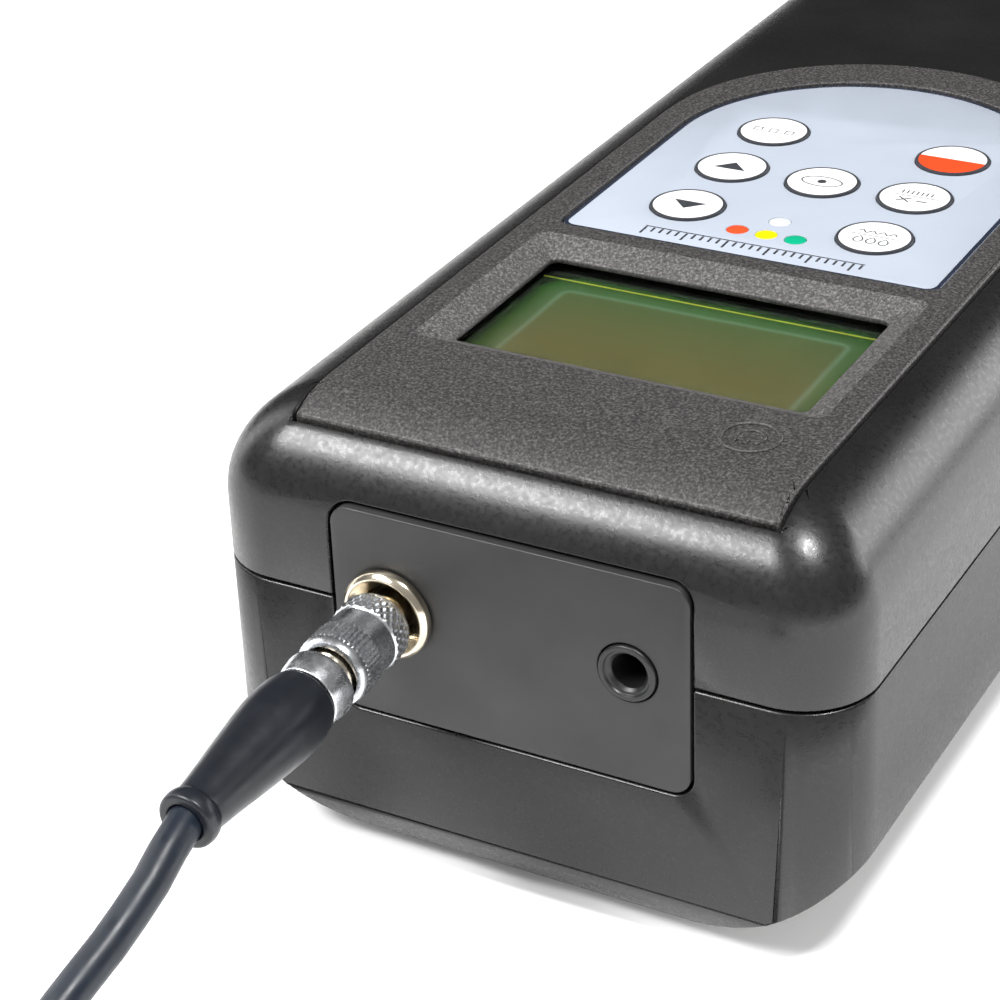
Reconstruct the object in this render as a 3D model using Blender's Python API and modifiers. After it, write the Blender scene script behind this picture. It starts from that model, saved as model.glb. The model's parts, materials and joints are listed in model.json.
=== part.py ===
"""Handheld moisture meter with a plug-in pin probe.

Metres, +Z up. The meter lies on its back, face up. The origin is the bottom centre of the meter
without its lead: X is its width, Y its length (the connector end faces -Y) and Z its thickness.
"""

import math

import bmesh
import bpy
from mathutils import Matrix, Vector

MM = 0.001

# Housing
WIDTH = 67 * MM
LENGTH = 160 * MM
HEIGHT = 46 * MM
SEAM_Z = 28.8 * MM
WALL = 2.2 * MM
ROOF = 3.0 * MM  # the top shell is thicker, because the faceplate is sunk into it
EDGE_R = 10.5 * MM  # rounding along the top edges
LOW_EDGE_R = 5.5 * MM
FRONT_CORNER_R = 7.5 * MM
BACK_CORNER_R = 18 * MM
BOW_FLAT = 8 * MM  # half width of the flat strip under the bowed back
BOW_R = 36 * MM
GAP = 0.3 * MM
SEAT = 0.2 * MM  # gap between flat faces that touch

FLANGE_OUT = 1.5 * MM  # the probe socket stands out of the front by this much
FRONT_Y = (FLANGE_OUT - LENGTH) / 2
BACK_Y = FRONT_Y + LENGTH
ARC_STEPS = 6
UPRIGHT = Matrix.Rotation(math.radians(90), 4, "X")  # turns a plan outline to face -Y

# Faceplate, display and keypad, all on the top face
PLATE_HALF_W = 24.7 * MM
PLATE_FRONT_Y = FRONT_Y + 4.9 * MM
PLATE_ARCH_Y = FRONT_Y + 85 * MM
PLATE_T = 1.8 * MM
PLATE_LOW_Z = HEIGHT - 5.2 * MM  # the front edge, which wraps over the rounding, ends here
WINDOW_HALF_W = 18.8 * MM
WINDOW_FRONT_Y = FRONT_Y + 24.6 * MM
WINDOW_BACK_Y = FRONT_Y + 46 * MM
WINDOW_BEVEL = 2.5 * MM
WINDOW_BEVEL_DEPTH = 1.2 * MM
OVERLAY_HALF_W = 21.1 * MM
OVERLAY_FRONT_Y = FRONT_Y + 51.8 * MM
OVERLAY_ARCH_Y = FRONT_Y + 82 * MM
OVERLAY_T = 0.5 * MM
OVERLAY_SINK = 0.8 * MM
KEY_R = 4.05 * MM
KEY_STEM_R = 1.5 * MM
KEY_TRAVEL = 0.3 * MM
KEY_COLUMN = 10.7 * MM
KEY_ROWS = (FRONT_Y + 61.6 * MM, FRONT_Y + 73 * MM, FRONT_Y + 84.4 * MM)
KEYS = {
    "key_down": (-KEY_COLUMN, KEY_ROWS[0]),
    "key_measure": (KEY_COLUMN, KEY_ROWS[0]),
    "key_up": (-KEY_COLUMN, KEY_ROWS[1]),
    "key_read": (0.0, KEY_ROWS[1]),
    "key_delete": (KEY_COLUMN, KEY_ROWS[1]),
    "key_select": (-KEY_COLUMN, KEY_ROWS[2]),
    "key_power": (KEY_COLUMN, KEY_ROWS[2]),
}
LED_R = 1.15 * MM
LEDS = {
    "led_red": (-3.3 * MM, FRONT_Y + 58.1 * MM),
    "led_yellow": (0.0, FRONT_Y + 58.1 * MM),
    "led_green": (3.3 * MM, FRONT_Y + 58.1 * MM),
    "led_white": (0.0, FRONT_Y + 61.7 * MM),
}

# Board stack under the faceplate
BOARD_TOP = 37.6 * MM
BOARD_T = 1.6 * MM
BOARD_HALF_W = 29.5 * MM
BOARD_FRONT_Y = FRONT_Y + 13.6 * MM
BOARD_BACK_Y = FRONT_Y + 122 * MM
LCD_TOP = 42.4 * MM
DOMES_TOP = BOARD_TOP + 0.7 * MM
DOME_RISE = 0.8 * MM
BOARD_SCREWS = ((-26.8 * MM, FRONT_Y + 20 * MM), (26.8 * MM, FRONT_Y + 108 * MM))

# End plate with the probe socket and the data jack
END_HALF_W = 18.5 * MM
END_LOW = SEAM_Z - 11.8 * MM
END_HIGH = SEAM_Z + 10.1 * MM
END_CORNER_R = 2.0 * MM
END_FRONT_T = 2.5 * MM
END_LIP = 1.5 * MM
END_LIP_T = 1.2 * MM
SOCKET_X = -12.4 * MM
JACK_X = 12.3 * MM
FLANGE_R = 4.6 * MM
BARREL_R = 3.6 * MM
JACK_R = 2.9 * MM
JACK_BORE_R = 1.75 * MM

# Battery bay in the back half
CELL_R = 5.25 * MM
CELL_L = 44.5 * MM
CELL_PITCH = 10.9 * MM
CELL_Z = 13.0 * MM
BAY_HALF_W = 22.4 * MM
BAY_FRONT_Y = 9 * MM
BAY_BACK_Y = 63.6 * MM
BAY_TOP = 19.2 * MM
COVER_HALF_W = 23 * MM
COVER_TOP = 10 * MM
CELL_CENTRE_Y = (BAY_FRONT_Y + BAY_BACK_Y) / 2
TONGUE_LOW, TONGUE_HIGH = 2.4 * MM, 3.4 * MM  # clear of the cells when the cover slides
TONGUE_HALF_W = 8 * MM
TONGUE_REACH = 5 * MM

CASE_SCREWS = [
    (-26.3 * MM, FRONT_Y + 9.5 * MM),
    (26.3 * MM, FRONT_Y + 9.5 * MM),
    (-26 * MM, BACK_Y - 14 * MM),
    (26 * MM, BACK_Y - 14 * MM),
]
COLUMN_R = 3.6 * MM
CASE_HEAD_R = 2.7 * MM

# Lead: distances along the plug's axis are measured from the end plate's outer face
PLUG_DROOP = math.radians(3)
SLEEVE_R = 3.6 * MM
SLEEVE_FROM, SLEEVE_TO = 1.9 * MM, 11.0 * MM
NUT_FROM, NUT_TO = 12.4 * MM, 15.2 * MM
BOOT_FROM, BOOT_TO = 15.4 * MM, 34.5 * MM
CABLE_D = 3.4 * MM
CABLE_START = 18.0 * MM
COIL_MID_R = 5.75 * CABLE_D
COIL_ROWS_WIDE = 4.5
COIL_X, COIL_Y = 10.7 * MM, -198 * MM
TIE_T = 0.6 * MM
COIL_LOW = TIE_T + SEAT
COIL_OUT_R = COIL_MID_R + COIL_ROWS_WIDE * CABLE_D / 2
COIL_IN_R = COIL_MID_R - COIL_ROWS_WIDE * CABLE_D / 2
COIL_HIGH = COIL_LOW + 2 * CABLE_D
PROBE_X = COIL_X - 7 * CABLE_D
PROBE_REAR_Y = -227 * MM
PROBE_R = 8 * MM

bpy.context.view_layer.objects.active = None
for old in list(bpy.data.objects):
    bpy.data.objects.remove(old, do_unlink=True)


def collection(name):
    made = bpy.data.collections.new(name)
    bpy.context.scene.collection.children.link(made)
    return made


PARTS = collection("moisture_meter")
CUTTERS = collection("cutters")


def material(name, color, roughness, metallic=0.0):
    made = bpy.data.materials.new(name)
    made.use_nodes = True
    shader = made.node_tree.nodes["Principled BSDF"]
    shader.inputs["Base Color"].default_value = (*color, 1.0)
    shader.inputs["Roughness"].default_value = roughness
    shader.inputs["Metallic"].default_value = metallic
    made.diffuse_color = (*color, 1.0)
    return made


BLACK = material("shell_black", (0.018, 0.017, 0.016), 0.34)
TEXTURED = material("faceplate_black", (0.045, 0.042, 0.041), 0.5)
END_GREY = material("end_plate_black", (0.022, 0.022, 0.022), 0.5)
OVERLAY_BLUE = material("overlay_blue_grey", (0.42, 0.46, 0.53), 0.4)
KEY_WHITE = material("key_white", (0.86, 0.86, 0.85), 0.4)
STEEL = material("steel", (0.62, 0.61, 0.59), 0.28, 1.0)
NICKEL = material("nickel", (0.72, 0.66, 0.56), 0.2, 1.0)
SATIN_SILVER = material("satin_silver", (0.66, 0.67, 0.69), 0.32, 1.0)
BOARD_GREEN = material("board_green", (0.02, 0.14, 0.06), 0.45)
CHIP_BLACK = material("chip_black", (0.02, 0.02, 0.022), 0.5)
LCD_OLIVE = material("lcd_olive", (0.22, 0.21, 0.10), 0.2)
CLEAR = material("clear_window", (0.9, 0.92, 0.9), 0.05)
PALE_PLASTIC = material("pale_plastic", (0.75, 0.76, 0.72), 0.4)
DARK_PLASTIC = material("dark_plastic", (0.015, 0.015, 0.016), 0.4)
BOOT_BLACK = material("boot_black", (0.016, 0.017, 0.02), 0.45)
CABLE_BLACK = material("cable_black", (0.022, 0.027, 0.036), 0.5)
CELL_BLUE = material("cell_wrap", (0.03, 0.10, 0.32), 0.35)
RED = material("led_red", (0.75, 0.09, 0.04), 0.3)
YELLOW = material("led_yellow", (0.9, 0.62, 0.02), 0.3)
GREEN = material("led_green", (0.02, 0.42, 0.22), 0.3)


def add(name, mesh, slot, group=PARTS):
    obj = bpy.data.objects.new(name, mesh)
    group.objects.link(obj)
    if group is CUTTERS:
        obj.hide_render = True
        obj.display_type = "WIRE"
    else:
        mesh.materials.append(slot)
    return obj


def finish_mesh(name, bm, smooth=True):
    """Turns a bmesh into a mesh with outward faces; edges over 35 degrees stay sharp."""
    bmesh.ops.recalc_face_normals(bm, faces=bm.faces)
    mesh = bpy.data.meshes.new(name)
    bm.to_mesh(mesh)
    bm.free()
    if smooth:
        mesh.shade_smooth()
        mesh.set_sharp_from_angle(angle=math.radians(35))
    return mesh


def cutter(name, mesh):
    return add(name, mesh, None, CUTTERS)


def combine(obj, other, operation):
    boolean = obj.modifiers.new(operation.lower() + "_" + other.name, "BOOLEAN")
    boolean.object = other
    boolean.operation = operation
    boolean.solver = "EXACT"


def cut(obj, *others):
    for other in others:
        combine(obj, other, "DIFFERENCE")


def join(obj, *others):
    for other in others:
        combine(obj, other, "UNION")


def box_mesh(name, low, high):
    bm = bmesh.new()
    bmesh.ops.create_cube(bm, size=1)
    low, high = Vector(low), Vector(high)
    bmesh.ops.scale(bm, vec=high - low, verts=bm.verts)
    bmesh.ops.translate(bm, vec=(low + high) / 2, verts=bm.verts)
    return finish_mesh(name, bm, smooth=False)


def cylinder_mesh(name, radius, low, high, centre=(0, 0), steps=24):
    bm = bmesh.new()
    bmesh.ops.create_cone(
        bm, cap_ends=True, segments=steps, radius1=radius, radius2=radius, depth=high - low
    )
    bmesh.ops.translate(bm, vec=(*centre, (low + high) / 2), verts=bm.verts)
    return finish_mesh(name, bm)


def prism_mesh(name, outline, low, high):
    """A flat outline, raised from low to high along Z."""
    bm = bmesh.new()
    face = bm.faces.new([bm.verts.new((x, y, low)) for x, y in outline])
    raised = bmesh.ops.extrude_face_region(bm, geom=[face])
    tops = [v for v in raised["geom"] if isinstance(v, bmesh.types.BMVert)]
    bmesh.ops.translate(bm, vec=(0, 0, high - low), verts=tops)
    return finish_mesh(name, bm)


def turned(name, profile, slot, steps=24, group=PARTS):
    """A solid turned about Z from (radius, height) points that run down its outer side."""
    mesh = bpy.data.meshes.new(name)
    closed = profile[0][0] > 0 or profile[-1][0] > 0
    count = len(profile)
    edges = [(i, i + 1) for i in range(count - 1)]
    if closed:
        edges.append((count - 1, 0))
    mesh.from_pydata([(r, 0, z) for r, z in profile], edges, [])
    obj = add(name, mesh, slot, group)
    screw = obj.modifiers.new("turn", "SCREW")
    screw.axis = "Z"
    screw.angle = math.tau
    screw.steps = screw.render_steps = steps
    screw.use_merge_vertices = True
    screw.merge_threshold = 1e-6
    screw.use_smooth_shade = True
    return obj


def arc(centre, radius, start, end, steps=ARC_STEPS):
    """Points on an arc, with angles in degrees."""
    angles = [math.radians(start + (end - start) * i / steps) for i in range(steps + 1)]
    return [(centre[0] + radius * math.cos(a), centre[1] + radius * math.sin(a)) for a in angles]


def rounded_rect(left, right, front, back, radius, back_radius=None, steps=ARC_STEPS):
    """A rounded rectangle, anticlockwise from its front left corner."""
    far = radius if back_radius is None else back_radius
    return (
        arc((left + radius, front + radius), radius, 180, 270, steps)
        + arc((right - radius, front + radius), radius, 270, 360, steps)
        + arc((right - far, back - far), far, 0, 90, steps)
        + arc((left + far, back - far), far, 90, 180, steps)
    )


def arched(half_w, front, arch_y, steps=10):
    """Straight sides and a square front, closed by a half circle at the back."""
    return [(-half_w, front), (half_w, front)] + arc((0, arch_y), half_w, 0, 180, steps)


def housing_ring(inset, z):
    """The housing's plan outline, drawn in by inset; its corners tighten more slowly."""
    tighten = 0.6
    front_r = FRONT_CORNER_R - tighten * inset
    back_r = BACK_CORNER_R - tighten * inset
    outline = rounded_rect(
        inset - WIDTH / 2, WIDTH / 2 - inset, FRONT_Y + inset, BACK_Y - inset, front_r, back_r
    )
    return [(x, y, z) for x, y in outline]


def housing_mesh(name, inset, start_z, end_z):
    """A closed half of the housing: straight walls from start_z, then rounding to end_z.

    inset draws the whole form inwards, for the inside of a wall of that thickness.
    """
    direction = 1 if end_z > start_z else -1
    radius = (EDGE_R if end_z > start_z else LOW_EDGE_R) - inset
    rings = [housing_ring(inset, start_z)]
    for step in range(ARC_STEPS + 1):
        turn = math.radians(90) * step / ARC_STEPS
        drawn_in = radius * (1 - math.cos(turn))
        height = end_z - direction * radius * (1 - math.sin(turn))
        rings.append(housing_ring(inset + drawn_in, height))
    bm = bmesh.new()
    loops = [[bm.verts.new(point) for point in ring] for ring in rings]
    for lower, upper in zip(loops, loops[1:]):
        for i in range(len(lower)):
            j = (i + 1) % len(lower)
            bm.faces.new((lower[i], lower[j], upper[j], upper[i]))
    bm.faces.new(loops[0])
    bm.faces.new(loops[-1])
    return finish_mesh(name, bm)


def bow_mesh(name, inset):
    """The bowed back's cross-section, raised along the whole length: it trims a bottom solid."""
    half = WIDTH
    arc_steps = 8
    side = []
    for i in range(arc_steps + 1):
        beyond = (half - BOW_FLAT) * 0.5 * i / arc_steps
        rise = BOW_R - math.sqrt(BOW_R**2 - beyond**2)
        side.append((BOW_FLAT + beyond, rise + inset))
    top = HEIGHT
    outline = [(-x, z) for x, z in reversed(side)] + side
    outline += [(side[-1][0], top), (-side[-1][0], top)]
    bm = bmesh.new()
    margin = 5 * MM
    face = bm.faces.new([bm.verts.new((x, FRONT_Y - margin, z)) for x, z in outline])
    raised = bmesh.ops.extrude_face_region(bm, geom=[face])
    ends = [v for v in raised["geom"] if isinstance(v, bmesh.types.BMVert)]
    bmesh.ops.translate(bm, vec=(0, LENGTH + 2 * margin, 0), verts=ends)
    return finish_mesh(name, bm)


def bottom_solid(name, inset, group=CUTTERS, start_z=SEAM_Z - GAP / 2):
    """The bottom half's outer form, drawn in by inset."""
    obj = add(name, housing_mesh(name, inset, start_z, inset), BLACK, group)
    combine(obj, cutter(name + "_bow", bow_mesh(name + "_bow", inset)), "INTERSECT")
    return obj


def end_outline(grow, steps=4):
    """The end plate's outline in X and Z, grown by grow."""
    return rounded_rect(
        -END_HALF_W - grow, END_HALF_W + grow, END_LOW - grow, END_HIGH + grow,
        END_CORNER_R + grow, steps=steps,
    )


def end_prism(name, grow, front, back, group=CUTTERS, slot=None):
    """The end plate's outline, raised along Y from front to back."""
    obj = add(name, prism_mesh(name, end_outline(grow), -back, -front), slot, group)
    obj.data.transform(UPRIGHT)
    return obj


def end_cylinder(name, radius, x, front, back, steps=24):
    """A cutter along Y at the height of the seam."""
    obj = cutter(name, cylinder_mesh(name, radius, -back, -front, steps=steps))
    obj.data.transform(UPRIGHT)
    obj.location = (x, 0, SEAM_Z)
    return obj


def face_outward(obj, x, droop=0.0):
    """Places a turned piece so that its height runs out of the end plate."""
    obj.location = (x, FRONT_Y, SEAM_Z)
    obj.rotation_euler = (math.radians(90) + droop, 0, 0)
    return obj


def bevel(obj, width, segments=2):
    modifier = obj.modifiers.new("edge", "BEVEL")
    modifier.width = width
    modifier.segments = segments
    modifier.limit_method = "ANGLE"
    modifier.angle_limit = math.radians(40)


def faceplate_cut(name, grow, depth):
    """The space above the roof line less depth, inside the faceplate's outline plus grow."""
    outline = arched(PLATE_HALF_W + grow, PLATE_FRONT_Y - grow, PLATE_ARCH_Y)
    prism = cutter(name, prism_mesh(name, outline, PLATE_LOW_Z - grow, HEIGHT + MM))
    core = housing_mesh(name + "_core", depth, SEAM_Z - MM, HEIGHT - depth)
    cut(prism, cutter(name + "_core", core))
    return prism


def cut_end_opening(shell):
    """The end plate shows through a window in the wall, and its lip sits behind the wall."""
    lip_front = FRONT_Y + END_FRONT_T
    window = end_prism(shell.name + "_end_window", GAP, FRONT_Y - MM, lip_front + MM)
    lip_room = end_prism(
        shell.name + "_lip_room", END_LIP + GAP, lip_front - SEAT, lip_front + END_LIP_T + MM
    )
    cut(shell, window, lip_room)


def make_top_shell():
    start_z = SEAM_Z + GAP / 2
    shell = add("top_shell", housing_mesh("top_shell", 0, start_z, HEIGHT), BLACK)
    inside = housing_mesh("roof_inside", WALL, start_z - MM, HEIGHT - ROOF)
    cut(shell, cutter("roof_inside", inside))
    for i, (x, y) in enumerate(CASE_SCREWS):
        post = cylinder_mesh("post", COLUMN_R, start_z, HEIGHT - ROOF, (x, y))
        join(shell, cutter(f"case_post_{i}", post))
        pilot = cylinder_mesh("pilot", 1.5 * MM, start_z - MM, HEIGHT - ROOF - 3 * MM, (x, y), 12)
        cut(shell, cutter(f"case_pilot_{i}", pilot))
    for i, (x, y) in enumerate(BOARD_SCREWS):
        boss_low = BOARD_TOP + GAP
        boss = cylinder_mesh("boss", 2.6 * MM, boss_low, HEIGHT - ROOF + MM, (x, y), 16)
        join(shell, cutter(f"board_boss_{i}", boss))
        pilot = cylinder_mesh("pilot", 1.2 * MM, boss_low - MM, HEIGHT - ROOF, (x, y), 12)
        cut(shell, cutter(f"board_pilot_{i}", pilot))
    cut(shell, faceplate_cut("faceplate_pocket", GAP, PLATE_T + GAP))
    margin = 3.2 * MM
    low, high = HEIGHT - 6 * MM, HEIGHT + MM
    window = box_mesh(
        "window_opening",
        (-WINDOW_HALF_W - margin, WINDOW_FRONT_Y - margin, low),
        (WINDOW_HALF_W + margin, WINDOW_BACK_Y + margin, high),
    )
    cut(shell, cutter("window_opening", window))
    keypad = box_mesh(
        "keypad_opening",
        (-KEY_COLUMN - 5 * MM, KEY_ROWS[0] - 6 * MM, low),
        (KEY_COLUMN + 5 * MM, KEY_ROWS[2] + 5 * MM, high),
    )
    cut(shell, cutter("keypad_opening", keypad))
    cut_end_opening(shell)


def make_bottom_shell():
    top = SEAM_Z - GAP / 2
    shell = bottom_solid("bottom_shell", 0, PARTS)
    cut(shell, bottom_solid("floor_inside", WALL, start_z=top + MM))
    bay = box_mesh(
        "bay_walls",
        (-BAY_HALF_W - 1.8 * MM, BAY_FRONT_Y - 1.8 * MM, 1.2 * MM),
        (BAY_HALF_W + 1.8 * MM, BAY_BACK_Y + 1.8 * MM, BAY_TOP + 1.6 * MM),
    )
    walls = cutter("bay_walls", bay)
    combine(walls, bottom_solid("bay_walls_trim", WALL / 2), "INTERSECT")
    join(shell, walls)
    for i, (x, y) in enumerate(CASE_SCREWS):
        column = cylinder_mesh("column", COLUMN_R + 0.6 * MM, 2.0 * MM, top, (x, y))
        upright = cutter(f"case_column_{i}", column)
        combine(upright, bottom_solid(f"case_column_trim_{i}", WALL / 2, start_z=top), "INTERSECT")
        join(shell, upright)
        clearance = cylinder_mesh("clearance", 1.6 * MM, -MM, top + MM, (x, y), 12)
        cut(shell, cutter(f"case_clearance_{i}", clearance))
        counterbore = cylinder_mesh("counterbore", 3.1 * MM, -MM, 13.5 * MM, (x, y))
        cut(shell, cutter(f"case_counterbore_{i}", counterbore))
    bay_space = box_mesh(
        "bay_space", (-BAY_HALF_W, BAY_FRONT_Y, -MM), (BAY_HALF_W, BAY_BACK_Y, BAY_TOP)
    )
    cut(shell, cutter("bay_space", bay_space))
    cover_space = box_mesh(
        "cover_space",
        (-COVER_HALF_W - GAP, BAY_FRONT_Y - 2 * MM - GAP, -MM),
        (COVER_HALF_W + GAP, BACK_Y + MM, COVER_TOP + GAP),
    )
    trimmed = cutter("cover_space", cover_space)
    cut(trimmed, bottom_solid("cover_space_core", WALL + GAP))
    cut(shell, trimmed)
    tongue_slot = box_mesh(
        "tongue_slot",
        (-TONGUE_HALF_W - MM, BAY_FRONT_Y - TONGUE_REACH - GAP, TONGUE_LOW - GAP),
        (TONGUE_HALF_W + MM, BAY_FRONT_Y + MM, TONGUE_HIGH + GAP),
    )
    cut(shell, cutter("tongue_slot", tongue_slot))
    cut_end_opening(shell)


def make_battery_cover():
    """The bowed lid, which wraps up the far end and slides out along +Y."""
    cover = bottom_solid("battery_cover", 0, PARTS)
    cut(cover, bottom_solid("cover_inside", WALL))
    region = box_mesh(
        "cover_region", (-COVER_HALF_W, BAY_FRONT_Y - 2 * MM, -MM), (COVER_HALF_W, BACK_Y + MM, COVER_TOP)
    )
    combine(cover, cutter("cover_region", region), "INTERSECT")
    tongue_root = box_mesh(
        "tongue_root",
        (-TONGUE_HALF_W, BAY_FRONT_Y - 1.8 * MM, WALL / 2),
        (TONGUE_HALF_W, BAY_FRONT_Y + 1.5 * MM, TONGUE_HIGH),
    )
    tongue = box_mesh(
        "tongue",
        (-TONGUE_HALF_W, BAY_FRONT_Y - TONGUE_REACH, TONGUE_LOW),
        (TONGUE_HALF_W, BAY_FRONT_Y, TONGUE_HIGH),
    )
    join(cover, cutter("tongue_root", tongue_root), cutter("tongue", tongue))


def make_faceplate():
    outer = housing_mesh("faceplate", 0, SEAM_Z + GAP, HEIGHT)
    plate = add("faceplate", outer, TEXTURED)
    combine(plate, faceplate_cut("faceplate_form", 0, PLATE_T), "INTERSECT")
    bm = bmesh.new()
    bmesh.ops.create_cube(bm, size=1)
    low, high = HEIGHT - WINDOW_BEVEL_DEPTH, HEIGHT + WINDOW_BEVEL_DEPTH
    for vert in bm.verts:
        spread = 2 * WINDOW_BEVEL if vert.co.z > 0 else 0
        left_right = WINDOW_HALF_W + spread
        front, back = WINDOW_FRONT_Y - spread, WINDOW_BACK_Y + spread
        vert.co = (
            math.copysign(left_right, vert.co.x),
            back if vert.co.y > 0 else front,
            high if vert.co.z > 0 else low,
        )
    cut(plate, cutter("window_bevel", finish_mesh("window_bevel", bm, smooth=False)))
    window = box_mesh(
        "window_hole",
        (-WINDOW_HALF_W, WINDOW_FRONT_Y, HEIGHT - 5 * MM),
        (WINDOW_HALF_W, WINDOW_BACK_Y, HEIGHT + MM),
    )
    cut(plate, cutter("window_hole", window))
    sunk = arched(OVERLAY_HALF_W + GAP, OVERLAY_FRONT_Y - GAP, OVERLAY_ARCH_Y)
    pocket = prism_mesh("overlay_pocket", sunk, HEIGHT - OVERLAY_SINK, HEIGHT + MM)
    cut(plate, cutter("overlay_pocket", pocket))
    for name, centre in KEYS.items():
        hole = cylinder_mesh("hole", KEY_STEM_R + GAP, HEIGHT - 5 * MM, HEIGHT, centre, 16)
        cut(plate, cutter(name + "_stem_hole", hole))
    for name, centre in LEDS.items():
        hole = cylinder_mesh("hole", LED_R + GAP, HEIGHT - 5 * MM, HEIGHT, centre, 12)
        cut(plate, cutter(name + "_plate_hole", hole))


def make_overlay():
    bottom = HEIGHT - OVERLAY_SINK + SEAT
    outline = arched(OVERLAY_HALF_W, OVERLAY_FRONT_Y, OVERLAY_ARCH_Y)
    mesh = prism_mesh("keypad_overlay", outline, bottom, bottom + OVERLAY_T)
    overlay = add("keypad_overlay", mesh, OVERLAY_BLUE)
    for name, centre in KEYS.items():
        hole = cylinder_mesh("hole", KEY_R + 0.2 * MM, bottom - MM, HEIGHT + MM, centre, 28)
        cut(overlay, cutter(name + "_overlay_hole", hole))
    for name, centre in LEDS.items():
        hole = cylinder_mesh("hole", LED_R + 0.15 * MM, bottom - MM, HEIGHT + MM, centre, 16)
        cut(overlay, cutter(name + "_overlay_hole", hole))


def make_keys():
    """Each key is a flat pad with a stem that reaches its dome on the board."""
    pad_low = HEIGHT - OVERLAY_SINK + KEY_TRAVEL + 0.1 * MM
    pad_high = HEIGHT + 0.1 * MM
    stem_low = DOMES_TOP + DOME_RISE + KEY_TRAVEL + 0.1 * MM
    profile = [
        (0, 0),
        (KEY_R - 0.25 * MM, 0),
        (KEY_R, -0.2 * MM),
        (KEY_R, pad_low - pad_high),
        (KEY_STEM_R, pad_low - pad_high),
        (KEY_STEM_R, stem_low - pad_high),
        (0, stem_low - pad_high),
    ]
    for name, (x, y) in KEYS.items():
        key = turned(name, profile, KEY_WHITE)
        key.location = (x, y, pad_high)


def make_display():
    margin = 2.4 * MM
    window_top = HEIGHT - PLATE_T - GAP
    window = box_mesh(
        "display_window",
        (-WINDOW_HALF_W - margin, WINDOW_FRONT_Y - margin, window_top - 0.8 * MM),
        (WINDOW_HALF_W + margin, WINDOW_BACK_Y + margin, window_top),
    )
    add("display_window", window, CLEAR)
    half_w = WINDOW_HALF_W + 0.8 * MM
    front, back = WINDOW_FRONT_Y - 0.9 * MM, WINDOW_BACK_Y + 0.9 * MM
    panel = box_mesh("lcd_panel", (-half_w, front, LCD_TOP - 2.2 * MM), (half_w, back, LCD_TOP))
    add("lcd_panel", panel, LCD_OLIVE)
    backlight = box_mesh(
        "lcd_backlight",
        (-half_w, front, BOARD_TOP + SEAT),
        (half_w, back, LCD_TOP - 2.2 * MM - SEAT),
    )
    add("lcd_backlight", backlight, PALE_PLASTIC)
    rim = 1.4 * MM
    frame_mesh = box_mesh(
        "lcd_frame",
        (-half_w - GAP - rim, front - GAP - rim, BOARD_TOP + SEAT),
        (half_w + GAP + rim, back + GAP + rim, LCD_TOP + SEAT),
    )
    frame = add("lcd_frame", frame_mesh, DARK_PLASTIC)
    hole = box_mesh(
        "lcd_frame_hole",
        (-half_w - GAP, front - GAP, BOARD_TOP - MM),
        (half_w + GAP, back + GAP, LCD_TOP + MM),
    )
    cut(frame, cutter("lcd_frame_hole", hole))


def make_board():
    outline = rounded_rect(
        -BOARD_HALF_W, BOARD_HALF_W, BOARD_FRONT_Y, BOARD_BACK_Y, 2 * MM, steps=3
    )
    low = BOARD_TOP - BOARD_T
    board = add("main_board", prism_mesh("main_board", outline, low, BOARD_TOP), BOARD_GREEN)
    for i, centre in enumerate(BOARD_SCREWS):
        hole = cylinder_mesh("hole", 1.5 * MM, low - MM, BOARD_TOP + MM, centre, 16)
        cut(board, cutter(f"board_hole_{i}", hole))
        head_top = low - SEAT
        profile = [
            (0, 5 * MM),
            (0.9 * MM, 5 * MM),
            (0.9 * MM, 0),
            (2.1 * MM, 0),
            (1.9 * MM, -1.2 * MM),
            (0, -1.2 * MM),
        ]
        screw = turned(f"board_screw_{i + 1}", profile, STEEL, steps=16)
        screw.location = (*centre, head_top)
    chips = {
        "controller_chip": ((-7, 12), (7, 26), 1.8),
        "converter_chip": ((-6, -30), (4, -20), 1.6),
    }
    for name, (front_left, back_right, thick) in chips.items():
        corners = [c * MM for c in (*front_left, *back_right)]
        top = low - SEAT
        chip = box_mesh(
            name, (corners[0], corners[1], top - thick * MM), (corners[2], corners[3], top)
        )
        bevel(add(name, chip, CHIP_BLACK), 0.15 * MM, 1)
    for name, (x, y) in LEDS.items():
        slot = {"led_red": RED, "led_yellow": YELLOW, "led_green": GREEN}.get(name, PALE_PLASTIC)
        tip = HEIGHT - 0.25 * MM
        foot = BOARD_TOP + SEAT
        profile = [
            (0, 0),
            (LED_R * 0.7, -0.12 * MM),
            (LED_R, -0.4 * MM),
            (LED_R, foot - tip),
            (0, foot - tip),
        ]
        led = turned(name, profile, slot, steps=16)
        led.location = (x, y, tip)


def make_dome_sheet():
    """The switch sheet on the board, with one dome under each key's stem."""
    low = BOARD_TOP + SEAT
    sheet_mesh = box_mesh(
        "dome_sheet",
        (-KEY_COLUMN - 4.5 * MM, KEY_ROWS[0] - 4.5 * MM, low),
        (KEY_COLUMN + 4.5 * MM, KEY_ROWS[2] + 4.5 * MM, DOMES_TOP),
    )
    sheet = add("dome_sheet", sheet_mesh, STEEL)
    for name, (x, y) in KEYS.items():
        profile = [
            (0, DOME_RISE),
            (1.4 * MM, DOME_RISE * 0.8),
            (2.8 * MM, 0),
            (2.8 * MM, -0.3 * MM),
            (0, -0.3 * MM),
        ]
        dome = turned(name + "_dome", profile, None, steps=12, group=CUTTERS)
        dome.location = (x, y, DOMES_TOP)
        join(sheet, dome)
    for name, (x, y) in LEDS.items():
        hole = cylinder_mesh("hole", LED_R + GAP, low - MM, DOMES_TOP + 2 * MM, (x, y), 12)
        cut(sheet, cutter(name + "_sheet_hole", hole))


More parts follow.
